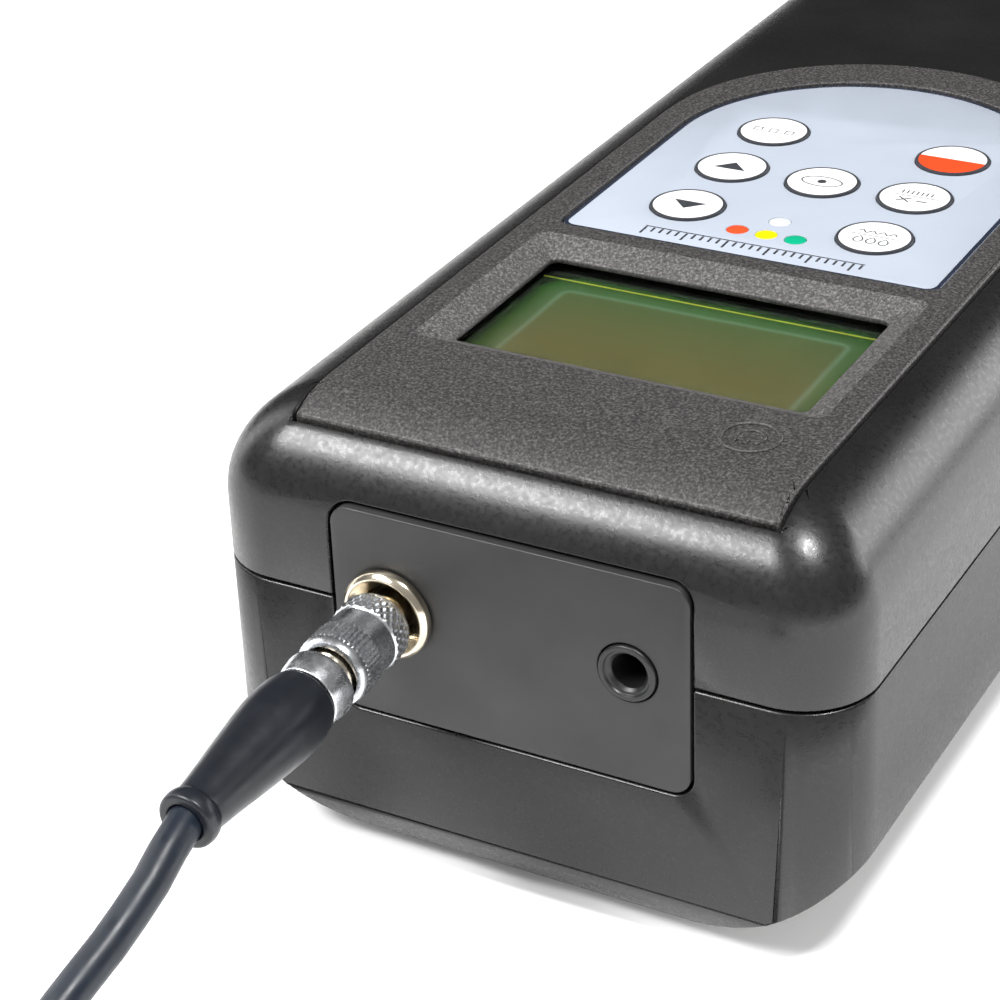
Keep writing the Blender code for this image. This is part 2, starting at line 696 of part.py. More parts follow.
def make_end_plate():
    lip_front = FRONT_Y + END_FRONT_T
    plate = end_prism("end_plate", 0, FRONT_Y, lip_front, PARTS, END_GREY)
    lip = end_prism("end_lip", END_LIP, lip_front - 0.01 * MM, lip_front + END_LIP_T)
    join(plate, lip)
    depth = FRONT_Y + 6 * MM
    cut(plate, end_cylinder("socket_hole", BARREL_R + 0.2 * MM, SOCKET_X, FRONT_Y - MM, depth))
    cut(plate, end_cylinder("jack_hole", JACK_R + 0.15 * MM, JACK_X, FRONT_Y - MM, depth))


def make_socket():
    profile = [
        (2.7 * MM, FLANGE_OUT),
        (FLANGE_R - 0.4 * MM, FLANGE_OUT),
        (FLANGE_R, FLANGE_OUT - 0.4 * MM),
        (FLANGE_R, SEAT),
        (BARREL_R, SEAT),
        (BARREL_R, -9 * MM),
        (0, -9 * MM),
        (0, -6.2 * MM),
        (2.7 * MM, -6.2 * MM),
    ]
    face_outward(turned("panel_socket", profile, NICKEL, steps=28), SOCKET_X)
    insert = [
        (0, -2.6 * MM),
        (0.35 * MM, -2.6 * MM),
        (0.35 * MM, -4.8 * MM),
        (2.4 * MM, -4.8 * MM),
        (2.4 * MM, -6.0 * MM),
        (0, -6.0 * MM),
    ]
    face_outward(turned("socket_insert", insert, PALE_PLASTIC, steps=16), SOCKET_X)
    make_ring_nut("socket_nut", SOCKET_X, 5.3 * MM, BARREL_R + 0.2 * MM)


def make_ring_nut(name, x, outer, bore):
    """A six-sided nut behind the end plate."""
    front = FRONT_Y + END_FRONT_T + END_LIP_T + SEAT
    back = front + 1.8 * MM
    nut = end_cylinder(name + "_form", outer, x, front, back, steps=6)
    CUTTERS.objects.unlink(nut)
    PARTS.objects.link(nut)
    nut.name = name
    nut.hide_render = False
    nut.display_type = "TEXTURED"
    nut.data.materials.append(STEEL)
    cut(nut, end_cylinder(name + "_bore", bore, x, front - MM, back + MM))


def make_jack():
    proud = 0.3 * MM
    profile = [
        (JACK_BORE_R + 0.25 * MM, proud),
        (JACK_R - 0.2 * MM, proud),
        (JACK_R, proud - 0.2 * MM),
        (JACK_R, -6.3 * MM),
        (4.2 * MM, -6.3 * MM),
        (4.2 * MM, -14 * MM),
        (0, -14 * MM),
        (0, -13 * MM),
        (JACK_BORE_R, -13 * MM),
        (JACK_BORE_R, proud - 0.25 * MM),
    ]
    jack = turned("data_jack", profile, DARK_PLASTIC)
    face_outward(jack, JACK_X)
    make_ring_nut("jack_nut", JACK_X, 4.4 * MM, JACK_R + 0.2 * MM)


def make_case_screws():
    head_top = 13.2 * MM
    profile = [
        (0, 21 * MM),
        (1.2 * MM, 21 * MM),
        (1.2 * MM, 0),
        (CASE_HEAD_R, 0),
        (CASE_HEAD_R, -1.4 * MM),
        (CASE_HEAD_R - 0.6 * MM, -2.0 * MM),
        (0, -2.0 * MM),
    ]
    for i, centre in enumerate(CASE_SCREWS):
        screw = turned(f"case_screw_{i + 1}", profile, STEEL, steps=20)
        screw.location = (*centre, head_top)


def make_batteries():
    nub_r, nub_l = 1.9 * MM, 0.9 * MM
    profile = [
        (0, CELL_L / 2),
        (nub_r, CELL_L / 2),
        (nub_r, CELL_L / 2 - nub_l),
        (CELL_R - 0.5 * MM, CELL_L / 2 - nub_l),
        (CELL_R, CELL_L / 2 - nub_l - 0.4 * MM),
        (CELL_R, -CELL_L / 2 + 0.4 * MM),
        (CELL_R - 0.4 * MM, -CELL_L / 2),
        (0, -CELL_L / 2),
    ]
    for i in range(4):
        cell = turned(f"battery_{i + 1}", profile, CELL_BLUE, steps=20)
        cell.location = (cell_x(i), CELL_CENTRE_Y, CELL_Z)
        cell.rotation_euler = (math.radians(-90 if i % 2 else 90), 0, 0)


def cell_x(index):
    return (index - 1.5) * CELL_PITCH


def contact(name, left, right, wall_y, springs):
    """A stamped plate on a bay wall; springs holds the x of each coil it carries."""
    inward = 1 if wall_y < CELL_CENTRE_Y else -1
    plate_t = 0.5 * MM
    near = wall_y + inward * SEAT
    far = near + inward * plate_t
    reach = 4.2 * MM
    plate = box_mesh(
        name, (left - reach, min(near, far), CELL_Z - reach), (right + reach, max(near, far), CELL_Z + reach)
    )
    obj = add(name, plate, STEEL)
    for i, x in enumerate(springs):
        cone_l = 3.3 * MM
        profile = [
            (0, cone_l),
            (1.5 * MM, cone_l),
            (1.5 * MM, cone_l - 0.7 * MM),
            (2.3 * MM, cone_l - 0.9 * MM),
            (2.3 * MM, cone_l - 1.7 * MM),
            (3.1 * MM, cone_l - 1.9 * MM),
            (3.1 * MM, -0.2 * MM),
            (0, -0.2 * MM),
        ]
        coil = turned(f"{name}_coil_{i}", profile, None, steps=14, group=CUTTERS)
        coil.location = (x, far, CELL_Z)
        coil.rotation_euler = (math.radians(-90 * inward), 0, 0)
        join(obj, coil)


def make_contacts():
    """Four cells in series: odd cells point to the front wall, even cells to the back wall."""
    first, second, third, fourth = [cell_x(i) for i in range(4)]
    contact("contact_front_left", first, first, BAY_FRONT_Y, [])
    contact("contact_front_middle", second, third, BAY_FRONT_Y, [second])
    contact("contact_front_right", fourth, fourth, BAY_FRONT_Y, [fourth])
    contact("contact_back_left", first, second, BAY_BACK_Y, [first])
    contact("contact_back_right", third, fourth, BAY_BACK_Y, [third])


def make_plug():
    """The push-pull plug: body, sliding sleeve, collet nut and bend relief on one drooping axis."""
    axis = bpy.data.objects.new("plug_axis", None)
    PARTS.objects.link(axis)
    face_outward(axis, SOCKET_X, PLUG_DROOP)
    body = [
        (0, 17.0 * MM),
        (2.2 * MM, 17.0 * MM),
        (2.2 * MM, NUT_FROM - SEAT),
        (2.6 * MM, NUT_FROM - SEAT),
        (2.6 * MM, SLEEVE_FROM),
        (2.1 * MM, SLEEVE_FROM),
        (2.1 * MM, -2.0 * MM),
        (0, -2.0 * MM),
    ]
    sleeve = [
        (2.9 * MM, SLEEVE_TO),
        (SLEEVE_R - 0.2 * MM, SLEEVE_TO),
        (SLEEVE_R, SLEEVE_TO - 0.2 * MM),
        (SLEEVE_R, SLEEVE_FROM + 0.6 * MM),
        (SLEEVE_R - 0.5 * MM, SLEEVE_FROM),
        (2.9 * MM, SLEEVE_FROM),
    ]
    nut = [
        (2.5 * MM, NUT_TO),
        (3.1 * MM, NUT_TO),
        (3.5 * MM, NUT_FROM + 0.8 * MM),
        (3.5 * MM, NUT_FROM + 0.3 * MM),
        (3.3 * MM, NUT_FROM),
        (2.5 * MM, NUT_FROM),
    ]
    bore = CABLE_D / 2 + GAP
    boot = [
        (bore, BOOT_TO),
        (2.7 * MM, BOOT_TO),
        (2.8 * MM, BOOT_TO - 0.5 * MM),
        (2.7 * MM, BOOT_TO - 1.3 * MM),
        (2.45 * MM, BOOT_TO - 2.0 * MM),
        (3.0 * MM, BOOT_TO - 8.0 * MM),
        (3.7 * MM, BOOT_FROM + 5.0 * MM),
        (3.8 * MM, BOOT_FROM + 2.6 * MM),
        (3.4 * MM, BOOT_FROM + 0.5 * MM),
        (3.2 * MM, BOOT_FROM),
        (2.5 * MM, BOOT_FROM),
        (2.5 * MM, 17.3 * MM),
        (bore, 17.3 * MM),
    ]
    for name, profile, slot in (
        ("plug_body", body, NICKEL),
        ("plug_sleeve", sleeve, SATIN_SILVER),
        ("collet_nut", nut, SATIN_SILVER),
        ("bend_relief", boot, BOOT_BLACK),
    ):
        piece = turned(name, profile, slot, steps=24)
        piece.parent = axis


def on_plug_axis(distance):
    """The world point at a distance along the drooping plug axis."""
    start = Vector((SOCKET_X, FRONT_Y, SEAM_Z))
    return start + distance * Vector((0, -math.cos(PLUG_DROOP), -math.sin(PLUG_DROOP)))


def smooth_points(anchors, spacing):
    """Points along a Catmull-Rom curve through the anchors, about spacing apart."""
    padded = [2 * anchors[0] - anchors[1]] + anchors + [2 * anchors[-1] - anchors[-2]]
    found = []
    for p0, p1, p2, p3 in zip(padded, padded[1:], padded[2:], padded[3:]):
        steps = max(1, round((p2 - p1).length / spacing))
        for i in range(steps):
            t = i / steps
            found.append(
                0.5 * (2 * p1 + (p2 - p0) * t + (2 * p0 - 5 * p1 + 4 * p2 - p3) * t * t
                       + (3 * p1 - p0 - 3 * p2 + p3) * t**3)
            )
    return found + [anchors[-1]]


def tube(name, points, radius, slot, resolution=2):
    curve = bpy.data.curves.new(name, "CURVE")
    curve.dimensions = "3D"
    curve.bevel_depth = radius
    curve.bevel_resolution = resolution
    curve.use_fill_caps = True
    spline = curve.splines.new("POLY")
    spline.points.add(len(points) - 1)
    for target, point in zip(spline.points, points):
        target.co = (*point, 1)
    curve.materials.append(slot)
    obj = bpy.data.objects.new(name, curve)
    PARTS.objects.link(obj)
    return obj


COIL_SIDE_X = COIL_X - COIL_OUT_R + CABLE_D / 2

# Where the cable runs on its way from the bend relief down to the surface and into the coil
LEAD_ROUTE_MM = [
    (-12.1, -119.5, 24.8),
    (-12.5, -125.5, 22.3),
    (-13.3, -131.5, 20.0),
    (-13.9, -139.0, 16.6),
    (-14.3, -148.0, 12.1),
    (-14.6, -157.0, 7.8),
    (-14.8, -166.0, 4.6),
    (-14.8, -175.0, 2.9),
]
# The upper layer's outer turn leaves the coil towards -Y and runs straight into the probe
TAIL_START_Y = COIL_Y - 16.4 * MM


def tail_anchors():
    """The tail's anchors: off the coil's upper layer and into the probe's rear."""
    return [
        Vector((PROBE_X, TAIL_START_Y, COIL_LOW + 1.5 * CABLE_D)),
        Vector((PROBE_X, PROBE_REAR_Y + 5 * MM, PROBE_R - 0.5 * MM)),
        Vector((PROBE_X, PROBE_REAR_Y + GAP, PROBE_R)),
    ]


def make_cable():
    """The free lead: from inside the bend relief to the coil, and from the coil to the probe."""
    start = [on_plug_axis(d) for d in (CABLE_START, 26 * MM, BOOT_TO)]
    lead = [Vector(p) * MM for p in LEAD_ROUTE_MM]
    clear = math.sqrt(COIL_OUT_R**2 - (COIL_OUT_R - 2 * CABLE_D) ** 2)
    lead.append(Vector((COIL_SIDE_X, COIL_Y + clear, COIL_LOW + CABLE_D / 2)))
    tube("cable", smooth_points(start + lead, 2.5 * CABLE_D), CABLE_D / 2, CABLE_BLACK)
    tube("cable_tail", smooth_points(tail_anchors(), 2.5 * CABLE_D), CABLE_D / 2, CABLE_BLACK)
    edge = 1.2 * MM
    profile = [
        (COIL_IN_R + edge, COIL_HIGH),
        (COIL_OUT_R - edge, COIL_HIGH),
        (COIL_OUT_R, COIL_HIGH - edge),
        (COIL_OUT_R, COIL_LOW + edge),
        (COIL_OUT_R - edge, COIL_LOW),
        (COIL_IN_R + edge, COIL_LOW),
        (COIL_IN_R, COIL_LOW + edge),
        (COIL_IN_R, COIL_HIGH - edge),
    ]
    coil = turned("cable_coil", profile, CABLE_BLACK, steps=36)
    coil.location = (COIL_X, COIL_Y, 0)
    make_tie()


def make_tie():
    """A strap round the coil's turns, on the side away from the meter."""
    width = 5 * MM
    reach_in = math.sqrt(COIL_IN_R**2 - (width / 2) ** 2) - SEAT - TIE_T
    reach_out = COIL_OUT_R + SEAT + TIE_T
    tie_mesh = box_mesh(
        "cable_tie",
        (COIL_X - width / 2, COIL_Y - reach_out, 0),
        (COIL_X + width / 2, COIL_Y - reach_in, COIL_HIGH + SEAT + TIE_T),
    )
    tie = add("cable_tie", tie_mesh, DARK_PLASTIC)
    hole = box_mesh(
        "tie_hole",
        (COIL_X - width, COIL_Y - reach_out + TIE_T, TIE_T),
        (COIL_X + width, COIL_Y - reach_in - TIE_T, COIL_HIGH + SEAT),
    )
    cut(tie, cutter("tie_hole", hole))


def make_probe():
    """The pin probe on the lead's far end, lying past the coil with its pins towards -Y."""
    axis = bpy.data.objects.new("probe_axis", None)
    PARTS.objects.link(axis)
    axis.location = (PROBE_X, PROBE_REAR_Y, PROBE_R)
    axis.rotation_euler = (math.radians(90), 0, 0)
    relief = [
        (0, 9.7 * MM),
        (3.2 * MM, 9.7 * MM),
        (3.4 * MM, 8.0 * MM),
        (2.7 * MM, 0.6 * MM),
        (2.5 * MM, 0),
        (0, 0),
    ]
    handle = [
        (0, 74 * MM),
        (6.6 * MM, 74 * MM),
        (7.4 * MM, 72 * MM),
        (7.0 * MM, 60 * MM),
        (PROBE_R, 48 * MM),
        (PROBE_R, 16 * MM),
        (6.6 * MM, 11.2 * MM),
        (5.6 * MM, 10 * MM),
        (0, 10 * MM),
    ]
    head = [
        (0, 86 * MM),
        (4.4 * MM, 86 * MM),
        (5.2 * MM, 84.8 * MM),
        (6.2 * MM, 74.2 * MM),
        (0, 74.2 * MM),
    ]
    for name, profile, slot in (
        ("probe_relief", relief, BOOT_BLACK),
        ("probe_handle", handle, BLACK),
        ("probe_head", head, SATIN_SILVER),
    ):
        turned(name, profile, slot, steps=24).parent = axis
    pin = [
        (0, 99 * MM),
        (0.25 * MM, 98.4 * MM),
        (0.75 * MM, 95 * MM),
        (0.75 * MM, 86.2 * MM),
        (0, 86.2 * MM),
    ]
    for name, side in (("probe_pin_left", -1), ("probe_pin_right", 1)):
        needle = turned(name, pin, STEEL, steps=12)
        needle.parent = axis
        needle.location = (side * 2.6 * MM, 0, 0)


make_top_shell()
make_bottom_shell()
make_battery_cover()
make_faceplate()
make_overlay()
make_keys()
make_display()
make_board()
make_dome_sheet()
make_end_plate()
make_socket()
make_jack()
make_case_screws()
make_batteries()
make_contacts()
make_plug()
make_cable()
make_probe()
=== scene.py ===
"""Looks of the moisture meter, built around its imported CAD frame. Metres, in the frame's axes."""

import json
import math

import bmesh
import bpy
from mathutils import Matrix, Vector


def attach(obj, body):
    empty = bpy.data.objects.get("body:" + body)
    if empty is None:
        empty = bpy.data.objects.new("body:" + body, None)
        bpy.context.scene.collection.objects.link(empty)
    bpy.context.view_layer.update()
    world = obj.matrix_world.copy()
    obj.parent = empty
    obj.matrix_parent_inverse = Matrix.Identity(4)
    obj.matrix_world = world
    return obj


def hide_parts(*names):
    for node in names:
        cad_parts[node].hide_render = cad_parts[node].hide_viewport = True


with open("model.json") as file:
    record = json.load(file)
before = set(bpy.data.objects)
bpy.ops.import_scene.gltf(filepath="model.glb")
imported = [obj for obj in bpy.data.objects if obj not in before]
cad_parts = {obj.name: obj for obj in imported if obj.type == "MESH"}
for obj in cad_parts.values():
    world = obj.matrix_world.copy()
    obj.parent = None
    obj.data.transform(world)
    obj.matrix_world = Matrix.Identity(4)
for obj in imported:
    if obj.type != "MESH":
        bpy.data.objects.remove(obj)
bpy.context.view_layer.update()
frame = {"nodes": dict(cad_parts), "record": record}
scene = bpy.context.scene
scene.view_settings.view_transform = "Standard"

MM = 0.001
ROOT = "housing"

# -------- sizes, as in the CAD
WIDTH = 67 * MM
LENGTH = 160 * MM
HEIGHT = 46 * MM
SEAM_Z = 28.8 * MM
WALL = 2.2 * MM
ROOF = 3.0 * MM
EDGE_R = 10.5 * MM
LOW_EDGE_R = 5.5 * MM
FRONT_CORNER_R = 7.5 * MM
BACK_CORNER_R = 18 * MM
BOW_FLAT = 8 * MM
BOW_R = 36 * MM
HOUSING_STEPS = 14
GAP = 0.3 * MM
SEAT = 0.2 * MM
WELD = 0.015 * MM
FLANGE_OUT = 1.5 * MM
FRONT_Y = (FLANGE_OUT - LENGTH) / 2
BACK_Y = FRONT_Y + LENGTH

PLATE_HALF_W = 24.7 * MM
PLATE_FRONT_Y = FRONT_Y + 4.9 * MM
PLATE_ARCH_Y = FRONT_Y + 85 * MM
PLATE_T = 1.8 * MM
PLATE_PROUD = 0.25 * MM
PLATE_LOW_Z = HEIGHT - 5.2 * MM
WINDOW_HALF_W = 18.8 * MM
WINDOW_FRONT_Y = FRONT_Y + 24.6 * MM
WINDOW_BACK_Y = FRONT_Y + 46 * MM
WINDOW_BEVEL = 2.5 * MM
WINDOW_BEVEL_DEPTH = 1.2 * MM
OVERLAY_HALF_W = 21.1 * MM
OVERLAY_FRONT_Y = FRONT_Y + 51.8 * MM
OVERLAY_ARCH_Y = FRONT_Y + 82 * MM
OVERLAY_T = 0.5 * MM
OVERLAY_SINK = 0.8 * MM
OVERLAY_TOP = HEIGHT - OVERLAY_SINK + SEAT + OVERLAY_T
PRINT_SINK, PRINT_RISE = 0.01 * MM, 0.018 * MM
KEY_R = 4.05 * MM
KEY_STEM_R = 1.5 * MM
KEY_TOP = HEIGHT + 0.1 * MM
KEY_TRAVEL = 0.3 * MM
KEY_COLUMN = 10.7 * MM
KEY_ROWS = (FRONT_Y + 61.6 * MM, FRONT_Y + 73 * MM, FRONT_Y + 84.4 * MM)
KEYS = {
    "key_down": (-KEY_COLUMN, KEY_ROWS[0]),
    "key_measure": (KEY_COLUMN, KEY_ROWS[0]),
    "key_up": (-KEY_COLUMN, KEY_ROWS[1]),
    "key_read": (0.0, KEY_ROWS[1]),
    "key_delete": (KEY_COLUMN, KEY_ROWS[1]),
    "key_select": (-KEY_COLUMN, KEY_ROWS[2]),
    "key_power": (KEY_COLUMN, KEY_ROWS[2]),
}
LED_R = 1.15 * MM
LED_ROW = FRONT_Y + 58.1 * MM
LEDS = {
    "led_red": (-3.3 * MM, LED_ROW),
    "led_yellow": (0.0, LED_ROW),
    "led_green": (3.3 * MM, LED_ROW),
    "led_white": (0.0, LED_ROW + 3.6 * MM),
}
BOARD_TOP = 37.6 * MM
DOMES_TOP = BOARD_TOP + 0.7 * MM
DOME_RISE = 0.8 * MM
BOARD_SCREWS = ((-26.8 * MM, FRONT_Y + 20 * MM), (26.8 * MM, FRONT_Y + 108 * MM))

END_HALF_W = 18.5 * MM
END_LOW = SEAM_Z - 11.8 * MM
END_HIGH = SEAM_Z + 10.1 * MM
END_CORNER_R = 2.0 * MM
END_FRONT_T = 2.5 * MM
END_LIP = 1.5 * MM
END_LIP_T = 1.2 * MM
SOCKET_X = -12.4 * MM
JACK_X = 12.3 * MM
FLANGE_R = 4.6 * MM
BARREL_R = 3.6 * MM
JACK_R = 2.9 * MM
JACK_BORE_R = 1.75 * MM

BAY_HALF_W = 22.4 * MM
BAY_FRONT_Y = 9 * MM
BAY_BACK_Y = 63.6 * MM
BAY_TOP = 19.2 * MM
COVER_HALF_W = 23 * MM
COVER_FRONT_Y = BAY_FRONT_Y - 2 * MM
COVER_TOP = 10 * MM
TONGUE_LOW, TONGUE_HIGH = 2.4 * MM, 3.4 * MM
TONGUE_HALF_W = 8 * MM
TONGUE_REACH = 5 * MM
CASE_SCREWS = [
    (-26.3 * MM, FRONT_Y + 9.5 * MM),
    (26.3 * MM, FRONT_Y + 9.5 * MM),
    (-26 * MM, BACK_Y - 14 * MM),
    (26 * MM, BACK_Y - 14 * MM),
]

PLUG_DROOP = math.radians(3)
SLEEVE_FROM, SLEEVE_TO = 1.9 * MM, 11.0 * MM
CROSS_KNURL = (2.75 * MM, 4.85 * MM)
STRAIGHT_KNURL = (7.5 * MM, 10.0 * MM)
NUT_FROM, NUT_TO = 12.4 * MM, 15.2 * MM
CORE_END = 17 * MM
BOOT_FROM, BOOT_TO = 15.4 * MM, 34.5 * MM
CABLE_D = 3.4 * MM
CABLE_START = 18.0 * MM
COIL_MID_R = 5.75 * CABLE_D
COIL_X, COIL_Y = 10.7 * MM, -198 * MM
TIE_T = 0.6 * MM
COIL_LOW = TIE_T + SEAT
COIL_OUT_R = COIL_MID_R + 2.25 * CABLE_D
COIL_IN_R = COIL_MID_R - 2.25 * CABLE_D
COIL_HIGH = COIL_LOW + 2 * CABLE_D
PROBE_X = COIL_X - 7 * CABLE_D
PROBE_REAR_Y = -227 * MM
PROBE_R = 8 * MM

# -------- camera
CAMERA_AT = Vector((0.1067, -0.2656, 0.1642))
CAMERA_AZIMUTH = math.radians(29.82)
CAMERA_ELEVATION = math.radians(29.3)
CAMERA_ROLL = math.radians(-2.41)
CAMERA_LENS = 99.54

flat = math.cos(CAMERA_ELEVATION)
back = Vector(
    (math.sin(CAMERA_AZIMUTH) * flat, -math.cos(CAMERA_AZIMUTH) * flat, math.sin(CAMERA_ELEVATION))
)
level = Vector((0, 0, 1)).cross(back).normalized()
upright = back.cross(level)
right = math.cos(CAMERA_ROLL) * level + math.sin(CAMERA_ROLL) * upright
up = back.cross(right)
camera_data = bpy.data.cameras.new("camera")
camera_data.lens = CAMERA_LENS
camera_data.sensor_width = 36
camera_data.clip_start = 0.01
camera = bpy.data.objects.new("camera", camera_data)
camera.matrix_world = Matrix.Translation(CAMERA_AT) @ Matrix((right, up, back)).transposed().to_4x4()
scene.collection.objects.link(camera)
scene.camera = camera


# -------- node materials
class Paint:
    """A Principled material with helpers that wire procedural detail in object space."""

    def __init__(self, name, color, roughness=0.5, metallic=0.0, **inputs):
        self.mat = bpy.data.materials.new(name)
        self.mat.use_nodes = True
        self.tree = self.mat.node_tree
        self.shader = self.tree.nodes["Principled BSDF"]
        self.set("Base Color", (*color, 1.0))
        self.set("Roughness", roughness)
        self.set("Metallic", metallic)
        for key, value in inputs.items():
            self.set(key.replace("_", " "), value)
        self.coords = self.node("ShaderNodeTexCoord").outputs["Object"]
        self.mat.diffuse_color = (*color, 1.0)

    def set(self, socket, value):
        self.shader.inputs[socket].default_value = value

    def node(self, kind, **settings):
        made = self.tree.nodes.new(kind)
        for key, value in settings.items():
            setattr(made, key, value)
        return made

    def link(self, out, into):
        self.tree.links.new(out, into)

    def axes(self):
        made = self.node("ShaderNodeSeparateXYZ")
        self.link(self.coords, made.inputs[0])
        return made.outputs

    def noise(self, scale, detail=2.0, rough=0.5):
        made = self.node("ShaderNodeTexNoise")
        self.link(self.coords, made.inputs["Vector"])
        made.inputs["Scale"].default_value = scale
        made.inputs["Detail"].default_value = detail
        made.inputs["Roughness"].default_value = rough
        return made.outputs["Fac"]

    def cells(self, scale):
        made = self.node("ShaderNodeTexVoronoi")
        self.link(self.coords, made.inputs["Vector"])
        made.inputs["Scale"].default_value = scale
        return made.outputs["Distance"]

    def ramp(self, fac, stops):
        made = self.node("ShaderNodeValToRGB")
        self.link(fac, made.inputs["Fac"])
        elements = made.color_ramp.elements
        while len(elements) < len(stops):
            elements.new(0.5)
        for element, (place, color) in zip(elements, stops):
            element.position = place
            element.color = (*color, 1.0)
        return made.outputs["Color"]

    def remap(self, fac, low, high, from_low=0.0, from_high=1.0):
        made = self.node("ShaderNodeMapRange")
        self.link(fac, made.inputs["Value"])
        ends = {"From Min": from_low, "From Max": from_high, "To Min": low, "To Max": high}
        for key, value in ends.items():
            made.inputs[key].default_value = value
        return made.outputs["Result"]

    def math(self, operation, first, second=None):
        made = self.node("ShaderNodeMath", operation=operation)
        for socket, value in zip(made.inputs, (first, second)):
            if value is None:
                continue
            if isinstance(value, (int, float)):
                socket.default_value = value
            else:
                self.link(value, socket)
        return made.outputs[0]

    def bump(self, height, distance, strength=1.0, under=None):
        made = self.node("ShaderNodeBump")
        self.link(height, made.inputs["Height"])
        made.inputs["Distance"].default_value = distance
        made.inputs["Strength"].default_value = strength
        if under is not None:
            self.link(under, made.inputs["Normal"])
        self.link(made.outputs["Normal"], self.shader.inputs["Normal"])
        return made.outputs["Normal"]

    def tint(self, fac, stops):
        self.link(self.ramp(fac, stops), self.shader.inputs["Base Color"])

    def vary_roughness(self, fac, low, high, from_low=0.3, from_high=0.7):
        self.link(self.remap(fac, low, high, from_low, from_high), self.shader.inputs["Roughness"])


def shades(color, spread):
    """Darker and lighter stops around a colour, for a ramp over noise."""
    return [(0.3, [c * (1 - spread) for c in color]), (0.7, [c * (1 + spread) for c in color])]


def grained(name, color, rough, spread, grain, depth):
    """Moulded plastic or film: fine grain, faint clouding and uneven gloss."""
    paint = Paint(name, color, rough)
    paint.tint(paint.noise(90, 3), shades(color, spread))
    paint.vary_roughness(paint.noise(260, 4), rough * 0.88, rough * 1.12)
    paint.bump(paint.noise(grain, 3, 0.6), depth)
    return paint.mat


def shell_paint():
    """Satin black ABS with a spark-eroded grain that shows in its highlights."""
    paint = Paint("shell_black_abs", (0.0088, 0.0088, 0.0091), 0.29)
    paint.tint(paint.noise(70, 4), [(0.3, (0.0072, 0.0072, 0.0075)), (0.7, (0.0125, 0.0121, 0.0121))])
    paint.vary_roughness(paint.noise(1800, 3), 0.24, 0.36)
    soft = paint.bump(paint.noise(420, 2), 0.03 * MM, 0.35)
    paint.bump(paint.noise(2600, 2, 0.7), 0.012 * MM, 1.0, soft)
    return paint.mat


def faceplate_paint(name="faceplate_textured", light=1.0):
    """Textured grey-black plastic: close bright grains on a darker ground. light scales every colour; above
    1 it gives a lighter copy that paints the light falling on the window's bevel.
    """
    paint = Paint(name, (0.05, 0.047, 0.046), 0.52)
    grains = [(0.36, (0.018, 0.0172, 0.0175)), (0.5, (0.039, 0.0368, 0.0365)), (0.66, (0.108, 0.103, 0.101))]
    paint.tint(paint.noise(3400, 3, 0.75), [(at, [c * light for c in color]) for at, color in grains])
    paint.vary_roughness(paint.noise(2400, 2), 0.42, 0.62)
    paint.bump(paint.cells(3000), 0.035 * MM, 0.8)
    return paint.mat


def lcd_paint():
    """An unlit display: olive field, pale rounded frame line, green border, and a painted highlight line
    near the back edge, standing for light caught on a raised edge.
    """
    paint = Paint("lcd_glass_olive", (0.22, 0.20, 0.08), 0.16)
    x, y = paint.axes()[:2]
    corner = 1.2 * MM
    middle_y = (WINDOW_FRONT_Y + WINDOW_BACK_Y) / 2 - 0.6 * MM
    half_w, half_h = 16.0 * MM, 8.4 * MM
    dx = paint.math("SUBTRACT", paint.math("ABSOLUTE", x), half_w - corner)
    dy = paint.math("ABSOLUTE", paint.math("SUBTRACT", y, middle_y))
    dy = paint.math("SUBTRACT", dy, half_h - corner)
    out_x, out_y = paint.math("MAXIMUM", dx, 0.0), paint.math("MAXIMUM", dy, 0.0)
    squared = paint.math("ADD", paint.math("MULTIPLY", out_x, out_x), paint.math("MULTIPLY", out_y, out_y))
    inside = paint.math("MINIMUM", paint.math("MAXIMUM", dx, dy), 0.0)
    edge = paint.math("SUBTRACT", paint.math("ADD", paint.math("SQRT", squared), inside), corner)
    blotch = paint.math("MULTIPLY", paint.math("SUBTRACT", paint.noise(120, 3), 0.5), 0.5 * MM)
    edge = paint.math("ADD", edge, blotch)
    band = paint.remap(edge, 0.0, 1.0, -4 * MM, 6 * MM)
    field = paint.ramp(
        band,
        [
            (0.0, (0.200, 0.182, 0.068)),
            (0.33, (0.195, 0.185, 0.072)),
            (0.385, (0.27, 0.30, 0.19)),
            (0.43, (0.16, 0.21, 0.09)),
            (0.60, (0.085, 0.155, 0.035)),
            (0.74, (0.030, 0.060, 0.018)),
            (0.86, (0.010, 0.016, 0.014)),
        ],
    )
    far = paint.remap(y, 0.0, 1.0, middle_y - 3 * MM, middle_y + 9 * MM)
    green = paint.ramp(far, [(0.0, (1.0, 1.0, 1.0)), (1.0, (0.62, 0.98, 0.9))])
    mixed = paint.node("ShaderNodeMix", data_type="RGBA", blend_type="MULTIPLY")
    mixed.inputs["Factor"].default_value = 1.0
    paint.link(field, mixed.inputs["A"])
    paint.link(green, mixed.inputs["B"])
    # The thin yellow-green line near the back edge is a painted highlight: light caught on a raised edge,
    # painted into the colour.
    highlight_line_y = WINDOW_BACK_Y - 0.75 * MM
    off_highlight_line = paint.math("ABSOLUTE", paint.math("SUBTRACT", y, highlight_line_y))
    line = paint.math("LESS_THAN", off_highlight_line, 0.14 * MM)
    painted_highlight_mix = paint.node("ShaderNodeMix", data_type="RGBA")
    paint.link(line, painted_highlight_mix.inputs["Factor"])
    paint.link(mixed.outputs["Result"], painted_highlight_mix.inputs["A"])
    painted_highlight_mix.inputs["B"].default_value = (0.62, 0.70, 0.05, 1.0)
    paint.link(painted_highlight_mix.outputs["Result"], paint.shader.inputs["Base Color"])
    return paint.mat


